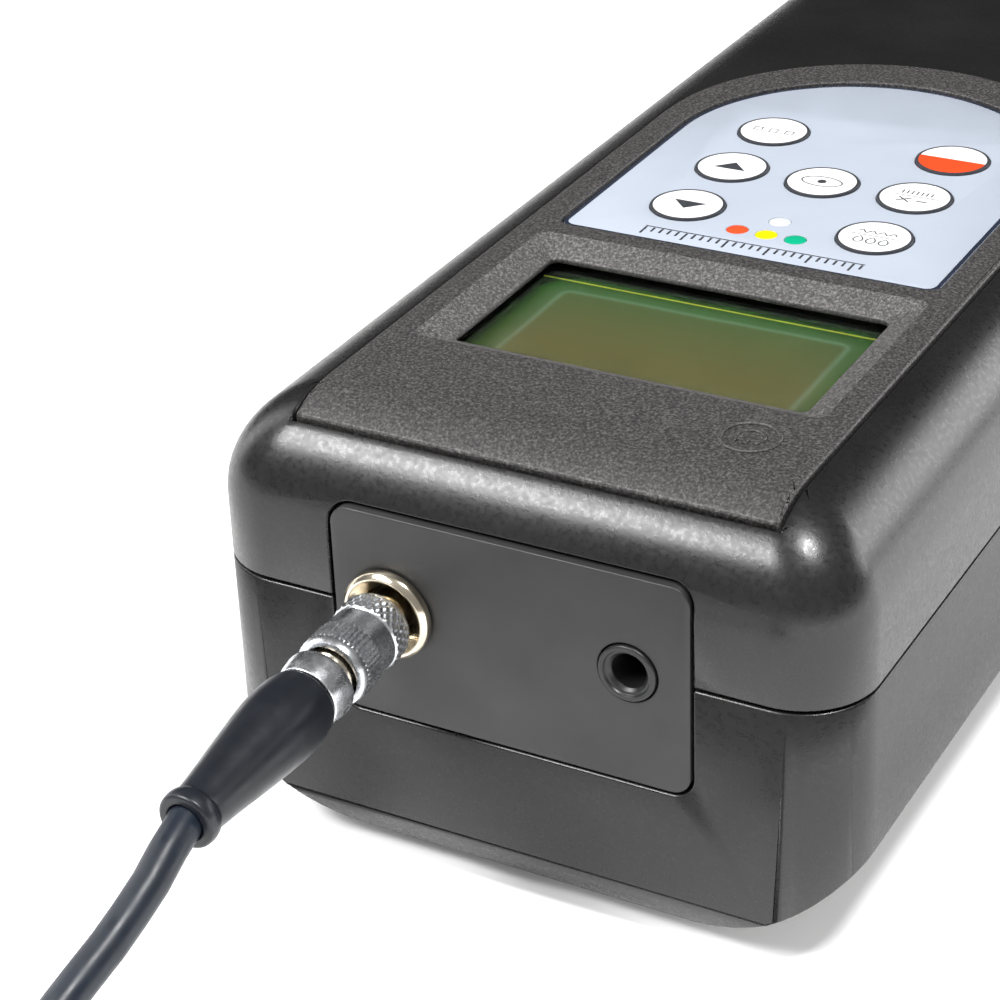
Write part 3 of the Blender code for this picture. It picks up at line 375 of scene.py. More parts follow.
def power_key_paint():
    """White film with its half towards the display printed orange-red."""
    paint = Paint("key_power_two_tone", (0.86, 0.86, 0.85), 0.42)
    half = paint.math("LESS_THAN", paint.axes()[1], KEYS["key_power"][1] + 0.1 * MM)
    paint.tint(half, [(0.0, (0.86, 0.86, 0.85)), (0.5, (0.80, 0.062, 0.012))])
    paint.bump(paint.noise(2500, 2), 0.004 * MM)
    return paint.mat


def turned_metal(name, color, rough):
    """Turned and plated metal: fine lathe lines round the part's axis, faint tarnish."""
    paint = Paint(name, color, rough, 1.0)
    paint.tint(paint.noise(300, 3), shades(color, 0.10))
    paint.vary_roughness(paint.noise(1500, 4), rough * 0.8, rough * 1.25)
    wave = paint.node("ShaderNodeTexWave", wave_type="BANDS", bands_direction="Y")
    paint.link(paint.coords, wave.inputs["Vector"])
    wave.inputs["Scale"].default_value = 1700
    wave.inputs["Distortion"].default_value = 1.5
    paint.bump(wave.outputs["Fac"], 0.003 * MM, 0.5)
    return paint.mat


def glass_paint():
    """Clear acrylic with a few fine scratches."""
    paint = Paint("window_acrylic", (0.96, 0.98, 0.96), 0.03, IOR=1.45, Transmission_Weight=1.0)
    scratch = paint.ramp(paint.noise(900, 2), [(0.62, (0.02, 0.02, 0.02)), (0.75, (0.10, 0.10, 0.10))])
    bw = paint.node("ShaderNodeRGBToBW")
    paint.link(scratch, bw.inputs[0])
    paint.link(bw.outputs[0], paint.shader.inputs["Roughness"])
    return paint.mat


def cable_paint(name, color, rough):
    paint = Paint(name, color, rough)
    paint.tint(paint.noise(150, 3), shades(color, 0.18))
    paint.vary_roughness(paint.noise(500, 3), rough * 0.85, rough * 1.15)
    paint.bump(paint.noise(1500, 3), 0.01 * MM)
    return paint.mat


def ink_paint():
    """Dark printing ink."""
    paint = Paint("print_ink", (0.035, 0.038, 0.045), 0.5)
    paint.tint(paint.noise(4000, 2), shades((0.035, 0.038, 0.045), 0.3))
    return paint.mat


SHELL = shell_paint()
FACEPLATE = faceplate_paint()
# A lighter copy of the faceplate finish for the window's bevel: painted light, as the bevel catches more
# light than the flat panel.
BEVEL = faceplate_paint("window_bevel_painted_light", 1.9)
LCD = lcd_paint()
GLASS = glass_paint()
INK = ink_paint()
POWER_KEY = power_key_paint()
END_BLACK = grained("end_plate_satin", (0.021, 0.021, 0.0215), 0.46, 0.2, 2400, 0.012 * MM)
OVERLAY = grained("overlay_film", (0.40, 0.44, 0.51), 0.42, 0.025, 3200, 0.006 * MM)
EDGE_INK = grained("overlay_edge_navy", (0.014, 0.02, 0.038), 0.45, 0.15, 3000, 0.003 * MM)
KEY_FILM = grained("key_film_white", (0.87, 0.87, 0.86), 0.4, 0.015, 2500, 0.004 * MM)
STEEL = turned_metal("bright_steel", (0.60, 0.59, 0.57), 0.3)
NICKEL = turned_metal("warm_nickel", (0.78, 0.70, 0.56), 0.17)
SILVER = turned_metal("satin_chrome", (0.74, 0.76, 0.79), 0.26)
DARK = grained("black_nylon", (0.012, 0.012, 0.0125), 0.38, 0.2, 2200, 0.008 * MM)
BOOT = cable_paint("boot_rubber", (0.009, 0.0108, 0.0155), 0.36)
JACKET = cable_paint("cable_jacket", (0.0075, 0.012, 0.021), 0.38)
LED_PALE = grained("lens_pale", (0.58, 0.60, 0.62), 0.35, 0.02, 2500, 0.003 * MM)
BY_SLOT = {
    "shell_black": SHELL,
    "faceplate_black": FACEPLATE,
    "end_plate_black": END_BLACK,
    "overlay_blue_grey": OVERLAY,
    "key_white": KEY_FILM,
    "steel": STEEL,
    "nickel": NICKEL,
    "satin_silver": SILVER,
    "lcd_olive": LCD,
    "clear_window": GLASS,
    "dark_plastic": DARK,
    "boot_black": BOOT,
    "cable_black": JACKET,
    "board_green": grained("board_resist", (0.02, 0.14, 0.06), 0.4, 0.2, 900, 0.02 * MM),
    "chip_black": grained("chip_epoxy", (0.02, 0.02, 0.022), 0.55, 0.2, 2600, 0.01 * MM),
    "pale_plastic": grained("pale_moulding", (0.72, 0.73, 0.69), 0.42, 0.04, 2000, 0.006 * MM),
    "cell_wrap": grained("cell_film", (0.03, 0.10, 0.32), 0.3, 0.06, 1500, 0.004 * MM),
    "led_red": grained("lens_red", (0.83, 0.075, 0.02), 0.35, 0.03, 2500, 0.003 * MM),
    "led_yellow": grained("lens_yellow", (0.93, 0.80, 0.0), 0.35, 0.02, 2500, 0.003 * MM),
    "led_green": grained("lens_green", (0.0, 0.36, 0.19), 0.35, 0.03, 2500, 0.003 * MM),
}
SLOT_OF = {part["node"]: part["material_slot"] for part in frame["record"]["subparts"]}


def finish_of(node_name):
    return LED_PALE if node_name == "led_white" else BY_SLOT[SLOT_OF[node_name]]


for node_name, node_object in frame["nodes"].items():
    node_object.data.materials.clear()
    node_object.data.materials.append(finish_of(node_name))


# -------- mesh helpers
def to_mesh(bm, angle=32):
    bmesh.ops.recalc_face_normals(bm, faces=bm.faces)
    mesh = bpy.data.meshes.new("form")
    bm.to_mesh(mesh)
    bm.free()
    mesh.shade_smooth()
    mesh.set_sharp_from_angle(angle=math.radians(angle))
    return mesh


def raw(mesh):
    obj = bpy.data.objects.new("form", mesh)
    scene.collection.objects.link(obj)
    return obj


def show(name, form, body, finish, *stands_for):
    """Names a mesh or object and lets it ride on a body, standing for the CAD nodes named."""
    obj = form if isinstance(form, bpy.types.Object) else raw(form)
    obj.name = name
    obj.data.name = name
    obj.data.materials.clear()
    obj.data.materials.append(finish)
    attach(obj, body)
    if stands_for:
        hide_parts(*stands_for)
    return obj


def evaluated(obj):
    """Replaces an object's mesh by its result after all its modifiers."""
    bpy.context.view_layer.update()
    graph = bpy.context.evaluated_depsgraph_get()
    mesh = bpy.data.meshes.new_from_object(obj.evaluated_get(graph))
    obj.modifiers.clear()
    obj.data = mesh
    return obj


def carve(obj, *tools, operation="DIFFERENCE"):
    """Booleans each mesh or object in turn, then keeps the result."""
    for tool in tools:
        if isinstance(tool, bpy.types.Mesh):
            tool = raw(tool)
        change = obj.modifiers.new("change", "BOOLEAN")
        change.object = tool
        change.operation = operation
        change.solver = "EXACT"
        evaluated(obj)
        bpy.data.objects.remove(tool)
    return obj


def soften(obj, width, segments=2, angle=38, harden=False):
    """Rounds the sharp edges slightly and evens the shading."""
    bm = bmesh.new()
    bm.from_mesh(obj.data)
    bmesh.ops.remove_doubles(bm, verts=bm.verts, dist=WELD)
    bmesh.ops.dissolve_degenerate(bm, dist=WELD / 2, edges=bm.edges)
    bmesh.ops.dissolve_limit(bm, angle_limit=math.radians(0.05), verts=bm.verts, edges=bm.edges)
    bm.to_mesh(obj.data)
    bm.free()
    edge = obj.modifiers.new("edge", "BEVEL")
    edge.width = width
    edge.segments = segments
    edge.limit_method = "ANGLE"
    edge.angle_limit = math.radians(angle)
    edge.use_clamp_overlap = False
    edge.harden_normals = harden
    if not harden:
        even = obj.modifiers.new("even", "WEIGHTED_NORMAL")
        even.keep_sharp = True
        even.weight = 80
    obj.data.shade_smooth()
    evaluated(obj)
    obj.data.set_sharp_from_angle(angle=math.radians(50))
    return obj


def arc(centre, radius, start, end, steps):
    turns = [math.radians(start + (end - start) * i / steps) for i in range(steps + 1)]
    return [(centre[0] + radius * math.cos(a), centre[1] + radius * math.sin(a)) for a in turns]


def rounded_rect(left, right_x, front, rear, radius, far=None, steps=12):
    """A rectangle with rounded corners; far is the radius of the rear ones, if it differs."""
    far = radius if far is None else far
    return (
        arc((left + radius, front + radius), radius, 180, 270, steps)
        + arc((right_x - radius, front + radius), radius, 270, 360, steps)
        + arc((right_x - far, rear - far), far, 0, 90, steps)
        + arc((left + far, rear - far), far, 90, 180, steps)
    )


def arched(half_w, front, arch_y, corner=0.0):
    """Straight sides closed by a half circle at the back; corner rounds the front corners."""
    far = arc((0, arch_y), half_w, 0, 180, 72)
    if not corner:
        return [(-half_w, front), (half_w, front)] + far
    near = arc((corner - half_w, front + corner), corner, 180, 270, 6)
    near += arc((half_w - corner, front + corner), corner, 270, 360, 6)
    return near + far


def raised(points, along):
    """A closed outline in space, raised along a vector."""
    bm = bmesh.new()
    face = bm.faces.new([bm.verts.new(p) for p in points])
    grown = bmesh.ops.extrude_face_region(bm, geom=[face])
    ends = [v for v in grown["geom"] if isinstance(v, bmesh.types.BMVert)]
    bmesh.ops.translate(bm, vec=along, verts=ends)
    return to_mesh(bm)


def slab(outline, low, high):
    return raised([(x, y, low) for x, y in outline], (0, 0, high - low))


def block(low, high):
    (x0, y0, z0), (x1, y1, z1) = low, high
    return slab([(x0, y0), (x1, y0), (x1, y1), (x0, y1)], z0, z1)


def disc(centre, radius, steps):
    return arc(centre, radius, 0, 360 - 360 / steps, steps - 1)


def post(radius, low, high, centre, steps=40):
    return slab(disc(centre, radius, steps), low, high)


def skin(bm, rows, closed=False):
    """Faces from each ring of points to the next, and from the last to the first if closed."""
    pairs = list(zip(rows, rows[1:])) + ([(rows[-1], rows[0])] if closed else [])
    for first, second in pairs:
        for k in range(len(first)):
            j = (k + 1) % len(first)
            corners = list(dict.fromkeys((first[k], first[j], second[j], second[k])))
            if len(corners) > 2:
                bm.faces.new(corners)


def cap(bm, rows):
    bm.faces.new(rows[0])
    bm.faces.new(rows[-1])


def loft(rings):
    """A closed form through rings with as many points each."""
    bm = bmesh.new()
    rows = [[bm.verts.new(p) for p in ring] for ring in rings]
    skin(bm, rows)
    cap(bm, rows)
    return to_mesh(bm)


def housing(inset, start_z, end_z):
    """The housing's form from start_z, rounding over to end_z, drawn in by inset."""
    direction = 1 if end_z > start_z else -1
    radius = (EDGE_R if end_z > start_z else LOW_EDGE_R) - inset

    def ring(drawn, z):
        outline = rounded_rect(
            drawn - WIDTH / 2, WIDTH / 2 - drawn, FRONT_Y + drawn, BACK_Y - drawn,
            FRONT_CORNER_R - 0.6 * drawn, BACK_CORNER_R - 0.6 * drawn, HOUSING_STEPS,
        )
        return [(x, y, z) for x, y in outline]

    rings = [ring(inset, start_z)]
    for step in range(HOUSING_STEPS + 1):
        turn = math.radians(90) * step / HOUSING_STEPS
        height = end_z - direction * radius * (1 - math.sin(turn))
        rings.append(ring(inset + radius * (1 - math.cos(turn)), height))
    return loft(rings)


def bow(inset):
    """The bowed back's section, raised along the length."""
    side = []
    for i in range(25):
        beyond = (WIDTH - BOW_FLAT) * 0.5 * i / 24
        side.append((BOW_FLAT + beyond, BOW_R - math.sqrt(BOW_R**2 - beyond**2) + inset))
    outline = [(-x, z) for x, z in reversed(side)] + side
    outline += [(side[-1][0], HEIGHT), (-side[-1][0], HEIGHT)]
    over = 5 * MM
    return raised([(x, FRONT_Y - over, z) for x, z in outline], (0, LENGTH + 2 * over, 0))


def bottom_form(inset, start_z=SEAM_Z - GAP / 2):
    return carve(raw(housing(inset, start_z, inset)), bow(inset), operation="INTERSECT")


def end_block(grow, front, rear):
    """The end plate's outline, raised along Y."""
    outline = rounded_rect(
        -END_HALF_W - grow, END_HALF_W + grow, END_LOW - grow, END_HIGH + grow,
        END_CORNER_R + grow, steps=8,
    )
    mesh = slab(outline, -rear, -front)
    mesh.transform(Matrix.Rotation(math.radians(90), 4, "X"))
    return mesh


def end_round(radius, x, front, rear):
    """A round form across the end plate."""
    mesh = slab(disc((0, 0), radius, 64), -rear, -front)
    mesh.transform(Matrix.Translation((x, 0, SEAM_Z)) @ Matrix.Rotation(math.radians(90), 4, "X"))
    return mesh


def lathe(profile, steps, place, ripple=None, angle=32):
    """Turns (radius, height) points about Z. ripple(turn, height) is added to the radius."""
    bm = bmesh.new()
    rows = []
    for r, z in profile:
        if r == 0:
            rows.append([bm.verts.new((0, 0, z))] * steps)
            continue
        row = []
        for k in range(steps):
            turn = math.tau * k / steps
            wide = r + (ripple(turn, z) if ripple else 0.0)
            row.append(bm.verts.new((wide * math.cos(turn), wide * math.sin(turn), z)))
        rows.append(row)
    skin(bm, rows, closed=profile[0][0] > 0 and profile[-1][0] > 0)
    mesh = to_mesh(bm, angle)
    mesh.transform(place)
    return mesh


def in_mm(points, base=0.0):
    """Profile points given in millimetres, with their heights counted from base."""
    return [(r * MM, base + z * MM) for r, z in points]


def outward(x, droop=0.0):
    """Places a turned form so that its height runs out of the end plate."""
    return Matrix.Translation((x, FRONT_Y, SEAM_Z)) @ Matrix.Rotation(math.radians(90) + droop, 4, "X")


def round_profile(points, radius, steps=3):
    """Rounds the corners of an open (radius, height) profile, except its ends."""
    out = [points[0]]
    for before, at, after in zip(points, points[1:], points[2:]):
        corner = Vector(at)
        to_before, to_after = Vector(before) - corner, Vector(after) - corner
        reach = min(radius, to_before.length * 0.45, to_after.length * 0.45)
        start = corner + to_before.normalized() * reach
        end = corner + to_after.normalized() * reach
        for i in range(steps + 1):
            t = i / steps
            out.append(tuple((1 - t) ** 2 * start + 2 * t * (1 - t) * corner + t**2 * end))
    return out + [points[-1]]


# -------- the free lead
def on_plug_axis(distance):
    """The point that far from the end plate along the plug's drooping axis."""
    start = Vector((SOCKET_X, FRONT_Y, SEAM_Z))
    return start + distance * Vector((0, -math.cos(PLUG_DROOP), -math.sin(PLUG_DROOP)))


def smooth_points(anchors, spacing):
    """Points along a Catmull-Rom curve through the anchors, about spacing apart."""
    padded = [2 * anchors[0] - anchors[1]] + anchors + [2 * anchors[-1] - anchors[-2]]
    found = []
    for p0, p1, p2, p3 in zip(padded, padded[1:], padded[2:], padded[3:]):
        steps = max(1, round((p2 - p1).length / spacing))
        for i in range(steps):
            t = i / steps
            bend = (2 * p0 - 5 * p1 + 4 * p2 - p3) * t * t + (3 * p1 - p0 - 3 * p2 + p3) * t**3
            found.append(0.5 * (2 * p1 + (p2 - p0) * t + bend))
    return found + [anchors[-1]]


LEAD_ROUTE_MM = [
    (-12.1, -119.5, 24.8),
    (-12.5, -125.5, 22.3),
    (-13.3, -131.5, 20.0),
    (-13.9, -139.0, 16.6),
    (-14.3, -148.0, 12.1),
    (-14.6, -157.0, 7.8),
    (-14.8, -166.0, 4.6),
    (-14.8, -175.0, 2.9),
    (-14.8, -186.0, 2.5),
]
LOW_TURNS, CLIMB, HIGH_TURNS = 3.5, 0.5, 3.0
OUTER_R = COIL_OUT_R - CABLE_D / 2
INNER_R = OUTER_R - LOW_TURNS * CABLE_D
LOW_LAYER_Z = COIL_LOW + CABLE_D / 2
HIGH_LAYER_Z = COIL_LOW + 1.52 * CABLE_D


def coil_point(turns):
    """The wound lead: inwards along the surface, up half a turn, outwards on top."""
    if turns < LOW_TURNS:
        radius, z = OUTER_R - CABLE_D * turns, LOW_LAYER_Z
    elif turns < LOW_TURNS + CLIMB:
        t = (turns - LOW_TURNS) / CLIMB
        radius = INNER_R - 0.6 * MM * math.sin(math.pi * t)
        z = LOW_LAYER_Z + (HIGH_LAYER_Z - LOW_LAYER_Z) * t * t * (3 - 2 * t)
    else:
        radius = INNER_R + CABLE_D * (turns - LOW_TURNS - CLIMB)
        z = HIGH_LAYER_Z
    angle = math.pi + math.tau * turns
    return Vector((COIL_X + radius * math.cos(angle), COIL_Y + radius * math.sin(angle), z))


def lead_points():
    """The lead's centre line: out of the plug, round the coil and into the probe's handle."""
    first = [on_plug_axis(d) for d in (CABLE_START, 26 * MM, BOOT_TO)]
    first += [Vector(p) * MM for p in LEAD_ROUTE_MM]
    points = smooth_points(first + [coil_point(0)], 4 * MM)[:-1]
    total = LOW_TURNS + CLIMB + HIGH_TURNS
    count = round(total * 28)
    points += [coil_point(total * i / count) for i in range(count + 1)]
    anchors = [points[-1]]
    anchors += [Vector((PROBE_X, COIL_Y + y * MM, HIGH_LAYER_Z)) for y in (-7, -14)]
    anchors.append(Vector((PROBE_X, PROBE_REAR_Y + 6 * MM, PROBE_R - 0.5 * MM)))
    anchors += [Vector((PROBE_X, PROBE_REAR_Y - inside * MM, PROBE_R)) for inside in (0, 9, 18, 27, 36)]
    return points + smooth_points(anchors, 3.5 * MM)[1:]


def make_lead():
    """The whole lead as one tube, with its length."""
    points = lead_points()
    curve = bpy.data.curves.new("lead_cable", "CURVE")
    curve.dimensions = "3D"
    curve.bevel_depth = CABLE_D / 2
    curve.bevel_resolution = 6
    curve.use_fill_caps = True
    spline = curve.splines.new("POLY")
    spline.points.add(len(points) - 1)
    for target, point in zip(spline.points, points):
        target.co = (*point, 1)
    cable = show("lead_cable", raw(curve), "lead", JACKET, "cable", "cable_tail", "cable_coil")
    return cable, sum((b - a).length for a, b in zip(points, points[1:]))


def make_tie():
    """A flat strap round the turns, on the coil's -Y side."""
    half = 2.5 * MM
    mid = (COIL_IN_R + COIL_OUT_R) / 2
    reach = (COIL_OUT_R - COIL_IN_R) / 2 + SEAT
    tall = (COIL_HIGH - COIL_LOW) / 2 + 0.25 * MM
    centre_z = COIL_LOW + tall - 0.15 * MM
    corner = 1.7 * MM
    bm = bmesh.new()
    rings = []
    low_end, outer_z = -reach - 0.5 * MM, tall + TIE_T
    inner = rounded_rect(low_end, reach, -tall, tall, corner, steps=8)
    outer = rounded_rect(low_end - TIE_T, reach + TIE_T, -outer_z, outer_z, corner + TIE_T, steps=8)
    for x, outline in ((-half, inner), (half, inner), (half, outer), (-half, outer)):
        rings.append([bm.verts.new((COIL_X + x, COIL_Y - mid + s, centre_z + z)) for s, z in outline])
    skin(bm, rings, closed=True)
    low = min(v.co.z for v in bm.verts)
    bmesh.ops.translate(bm, vec=(0, 0, -low), verts=bm.verts)
    return soften(show("coil_strap", to_mesh(bm), "lead", DARK, "cable_tie"), 0.12 * MM)


def knurl(turn, z):
    """Cross knurling near the socket and straight knurling near the cable, on the sleeve."""
    for band in (CROSS_KNURL, STRAIGHT_KNURL):
        fade = min(1.0, (z - band[0]) / (0.2 * MM), (band[1] - z) / (0.2 * MM))
        if fade <= 0:
            continue
        if band == STRAIGHT_KNURL:
            return 0.09 * MM * fade * (abs(math.sin(22 * turn)) * 2 - 1)
        lean = z / MM * 5.4
        both = math.sin(26 * turn + lean) + math.sin(26 * turn - lean)
        return 0.085 * MM * fade * (0.5 * both + 0.2)
    return 0.0


def make_plug():
    """The push-pull plug: sleeve, core, ring and bend relief, which it returns."""
    place = outward(SOCKET_X, PLUG_DROOP)
    sleeve = in_mm([(2.9, 0), (3.05, 0), (3.3, 0.25), (3.35, 0.7), (3.5, 0.82)], SLEEVE_FROM)
    sleeve += in_mm([(3.55, 2.78 + 0.085 * i) for i in range(25)])
    sleeve += in_mm([(3.5, 4.9), (3.42, 5.0), (3.42, 6.2), (3.42, 7.35)])
    sleeve += in_mm([(3.55, 7.48 + 0.12 * i) for i in range(22)])
    sleeve += in_mm([(3.62, -0.9), (3.62, -0.45), (3.45, -0.1), (3.2, 0), (2.9, 0)], SLEEVE_TO)
    show("knurled_sleeve", lathe(sleeve, 264, place, knurl), "plug_sleeve", SILVER, "plug_sleeve")
    core = in_mm([(0, -2), (1.9, -2), (2.1, -1.8)])
    core += in_mm([(2.1, 0), (2.6, 0)], SLEEVE_FROM) + in_mm([(2.6, 0), (2.2, 0)], NUT_FROM - SEAT)
    core += in_mm([(2.2, 0), (0, 0)], CORE_END)
    show("plug_core", lathe(core, 64, place), "lead", NICKEL, "plug_body")
    nut = in_mm([(2.7, -0.05), (3.3, -0.05), (3.52, 0.15), (3.55, 0.5), (3.42, 1.6)], NUT_FROM)
    nut += in_mm([(3.22, -0.1), (3.1, 0), (2.7, 0)], NUT_TO)
    show("collet_ring", lathe(round_profile(nut, 0.15 * MM), 96, place), "lead", SILVER, "collet_nut")
    bore = CABLE_D / 2 + 0.06 * MM
    inner_end = CORE_END + GAP
    boot = [(bore, inner_end), (2.5 * MM, inner_end)]
    boot += in_mm([(2.5, 0), (3.2, 0), (3.42, 0.35), (3.72, 1.7), (3.82, 3.3), (3.76, 5.2)], BOOT_FROM)
    boot += in_mm([(3.52, 7.6), (3.16, 10.6)], BOOT_FROM)
    boot += in_mm([(2.78, -5.2), (2.52, -2.7), (2.47, -1.9), (2.72, -1.6), (2.84, -0.9)], BOOT_TO)
    boot += in_mm([(2.74, -0.2), (2.5, 0), (1.9, 0)], BOOT_TO)
    boot.append((bore, BOOT_TO - 0.15 * MM))
    mesh = lathe(round_profile(boot, 1.6 * MM, 5), 96, place, angle=50)
    return show("bend_relief_boot", mesh, "lead", BOOT, "bend_relief")


def make_probe():
    """The pin probe on the far end: ribbed grip, coned head, two needles."""
    place = Matrix.Translation((PROBE_X, PROBE_REAR_Y, PROBE_R)) @ Matrix.Rotation(math.radians(90), 4, "X")
    relief = in_mm([(1.75, 0.3), (2.5, 0), (2.75, 0.5)])
    for i in range(4):
        wide = 2.7 + 0.14 * i
        rib = [(wide, 0), (wide + 0.1, 1.1), (wide - 0.45, 1.2), (wide - 0.42, 1.75)]
        relief += in_mm(rib, (1.0 + 1.9 * i) * MM)
    relief += in_mm([(3.3, 9), (3.2, 9.7), (1.75, 9.7), (1.75, 0.3)])
    show("probe_bend_relief", lathe(relief, 48, place), "lead", BOOT, "probe_relief")
    handle = in_mm([(0, 40), (1.75, 40), (1.75, 10), (5.2, 10), (6.2, 10.8), (7.9, 16)])
    for i in range(11):
        for deep, z in ((0, 0), (0.55, 0.35), (0.55, 0.95), (0, 1.3)):
            handle.append((PROBE_R - deep * MM, (20 + 2.4 * i + z) * MM))
    handle.append((PROBE_R, 48 * MM))
    handle += in_mm([(7.3, 54), (7.0, 60), (7.2, 66), (7.5, 71.4), (7.2, 73.2), (6.5, 74), (0, 74)])
    show("probe_grip", lathe(round_profile(handle, 0.5 * MM), 80, place), "lead", SHELL, "probe_handle")
    head = in_mm([(0, 74.2), (6.2, 74.2), (6.15, 76), (5.9, 76.3), (5.9, 77), (6.0, 77.3)])
    head += in_mm([(5.3, 84.6), (4.6, 86), (0, 86)])
    show("probe_cone", lathe(round_profile(head, 0.35 * MM), 80, place), "lead", SILVER, "probe_head")
    pin = in_mm([(0, 86.2), (0.75, 86.2), (0.75, 94.6), (0.62, 96), (0.28, 98.2), (0.1, 98.9), (0, 99)])
    for side, away in (("left", -2.6 * MM), ("right", 2.6 * MM)):
        aside = place @ Matrix.Translation((away, 0, 0))
        show("needle_" + side, lathe(pin, 32, aside), "lead", STEEL, "probe_pin_" + side)


# -------- housing
def end_openings(shell):
    """Cuts a case half for the end plate and its lip."""
    lip_front = FRONT_Y + END_FRONT_T
    carve(shell, end_block(GAP, FRONT_Y - MM, lip_front + MM))
    carve(shell, end_block(END_LIP + GAP, lip_front - SEAT, lip_front + END_LIP_T + MM))


def plate_space(grow, depth):
    """The layer of the housing's surface under the faceplate's outline, down to depth."""
    outline = arched(PLATE_HALF_W + grow, PLATE_FRONT_Y - grow, PLATE_ARCH_Y)
    prism = raw(slab(outline, PLATE_LOW_Z - grow, HEIGHT + MM))
    return carve(prism, housing(depth, SEAM_Z - MM, HEIGHT - depth))


def make_top_shell():
    start_z = SEAM_Z + GAP / 2
    inside = HEIGHT - ROOF
    shell = show("upper_case", housing(0, start_z, HEIGHT), ROOT, SHELL, "top_shell")
    carve(shell, housing(WALL, start_z - MM, inside))
    for at in CASE_SCREWS:
        carve(shell, post(3.6 * MM, start_z, inside, at), operation="UNION")
        carve(shell, post(1.5 * MM, start_z - MM, inside - 3 * MM, at, 24))
    board_z = BOARD_TOP + GAP
    for at in BOARD_SCREWS:
        carve(shell, post(2.6 * MM, board_z, inside + 0.5 * MM, at), operation="UNION")
        carve(shell, post(1.2 * MM, board_z - MM, inside, at, 20))
    carve(shell, plate_space(GAP, PLATE_T + GAP))
    margin = 3.2 * MM
    low, high = HEIGHT - 6 * MM, HEIGHT + MM
    display = block(
        (-WINDOW_HALF_W - margin, WINDOW_FRONT_Y - margin, low),
        (WINDOW_HALF_W + margin, WINDOW_BACK_Y + margin, high),
    )
    keypad = block(
        (-KEY_COLUMN - 5 * MM, KEY_ROWS[0] - 6 * MM, low),
        (KEY_COLUMN + 5 * MM, KEY_ROWS[2] + 5 * MM, high),
    )
    carve(shell, display, keypad)
    end_openings(shell)
    soften(shell, 0.22 * MM)


def make_bottom_shell():
    top = SEAM_Z - GAP / 2
    shell = show("lower_case", bottom_form(0), ROOT, SHELL, "bottom_shell")
    carve(shell, bottom_form(WALL, top + MM))
    wall = 1.8 * MM
    bay = block(
        (-BAY_HALF_W - wall, BAY_FRONT_Y - wall, 1.2 * MM),
        (BAY_HALF_W + wall, BAY_BACK_Y + wall, BAY_TOP + 1.6 * MM),
    )
    carve(shell, carve(raw(bay), bottom_form(WALL / 2), operation="INTERSECT"), operation="UNION")
    for at in CASE_SCREWS:
        column = raw(post(4.2 * MM, 2 * MM, top, at))
        carve(column, bottom_form(WALL / 2), operation="INTERSECT")
        carve(shell, column, operation="UNION")
        carve(shell, post(1.6 * MM, -MM, top + MM, at, 24), post(3.1 * MM, -MM, 13.5 * MM, at))
    carve(shell, block((-BAY_HALF_W, BAY_FRONT_Y, -MM), (BAY_HALF_W, BAY_BACK_Y, BAY_TOP)))
    cover = block(
        (-COVER_HALF_W - GAP, COVER_FRONT_Y - GAP, -MM),
        (COVER_HALF_W + GAP, BACK_Y + MM, COVER_TOP + GAP),
    )
    carve(shell, carve(raw(cover), bottom_form(WALL + GAP)))
    slot = block(
        (-TONGUE_HALF_W - MM, BAY_FRONT_Y - TONGUE_REACH - GAP, TONGUE_LOW - GAP),
        (TONGUE_HALF_W + MM, BAY_FRONT_Y + MM, TONGUE_HIGH + GAP),
    )
    carve(shell, slot)
    end_openings(shell)
    soften(shell, 0.22 * MM, harden=True)


def make_battery_cover():
    """The sliding cover with its tongue at the front and grip grooves underneath."""
    cover = show("battery_door", bottom_form(0), "battery_cover", SHELL, "battery_cover")
    carve(cover, bottom_form(WALL))
    region = block((-COVER_HALF_W, COVER_FRONT_Y, -MM), (COVER_HALF_W, BACK_Y + MM, COVER_TOP))
    carve(cover, region, operation="INTERSECT")
    root = block(
        (-TONGUE_HALF_W, BAY_FRONT_Y - 1.8 * MM, WALL / 2),
        (TONGUE_HALF_W, BAY_FRONT_Y + 1.5 * MM, TONGUE_HIGH),
    )
    tongue = block(
        (-TONGUE_HALF_W, BAY_FRONT_Y - TONGUE_REACH, TONGUE_LOW),
        (TONGUE_HALF_W, BAY_FRONT_Y, TONGUE_HIGH),
    )
    carve(cover, root, tongue, operation="UNION")
    for i in range(7):
        y = BAY_FRONT_Y + (6 + 2.2 * i) * MM
        outline = rounded_rect(-9 * MM, 9 * MM, y, y + 1.1 * MM, 0.5 * MM, steps=5)
        carve(cover, slab(outline, -MM, 0.55 * MM))
    soften(cover, 0.22 * MM)


def around_window(grow, corner, steps=6):
    """The display window's outline, grown on every side."""
    wide = WINDOW_HALF_W + grow
    return rounded_rect(-wide, wide, WINDOW_FRONT_Y - grow, WINDOW_BACK_Y + grow, corner, steps=steps)


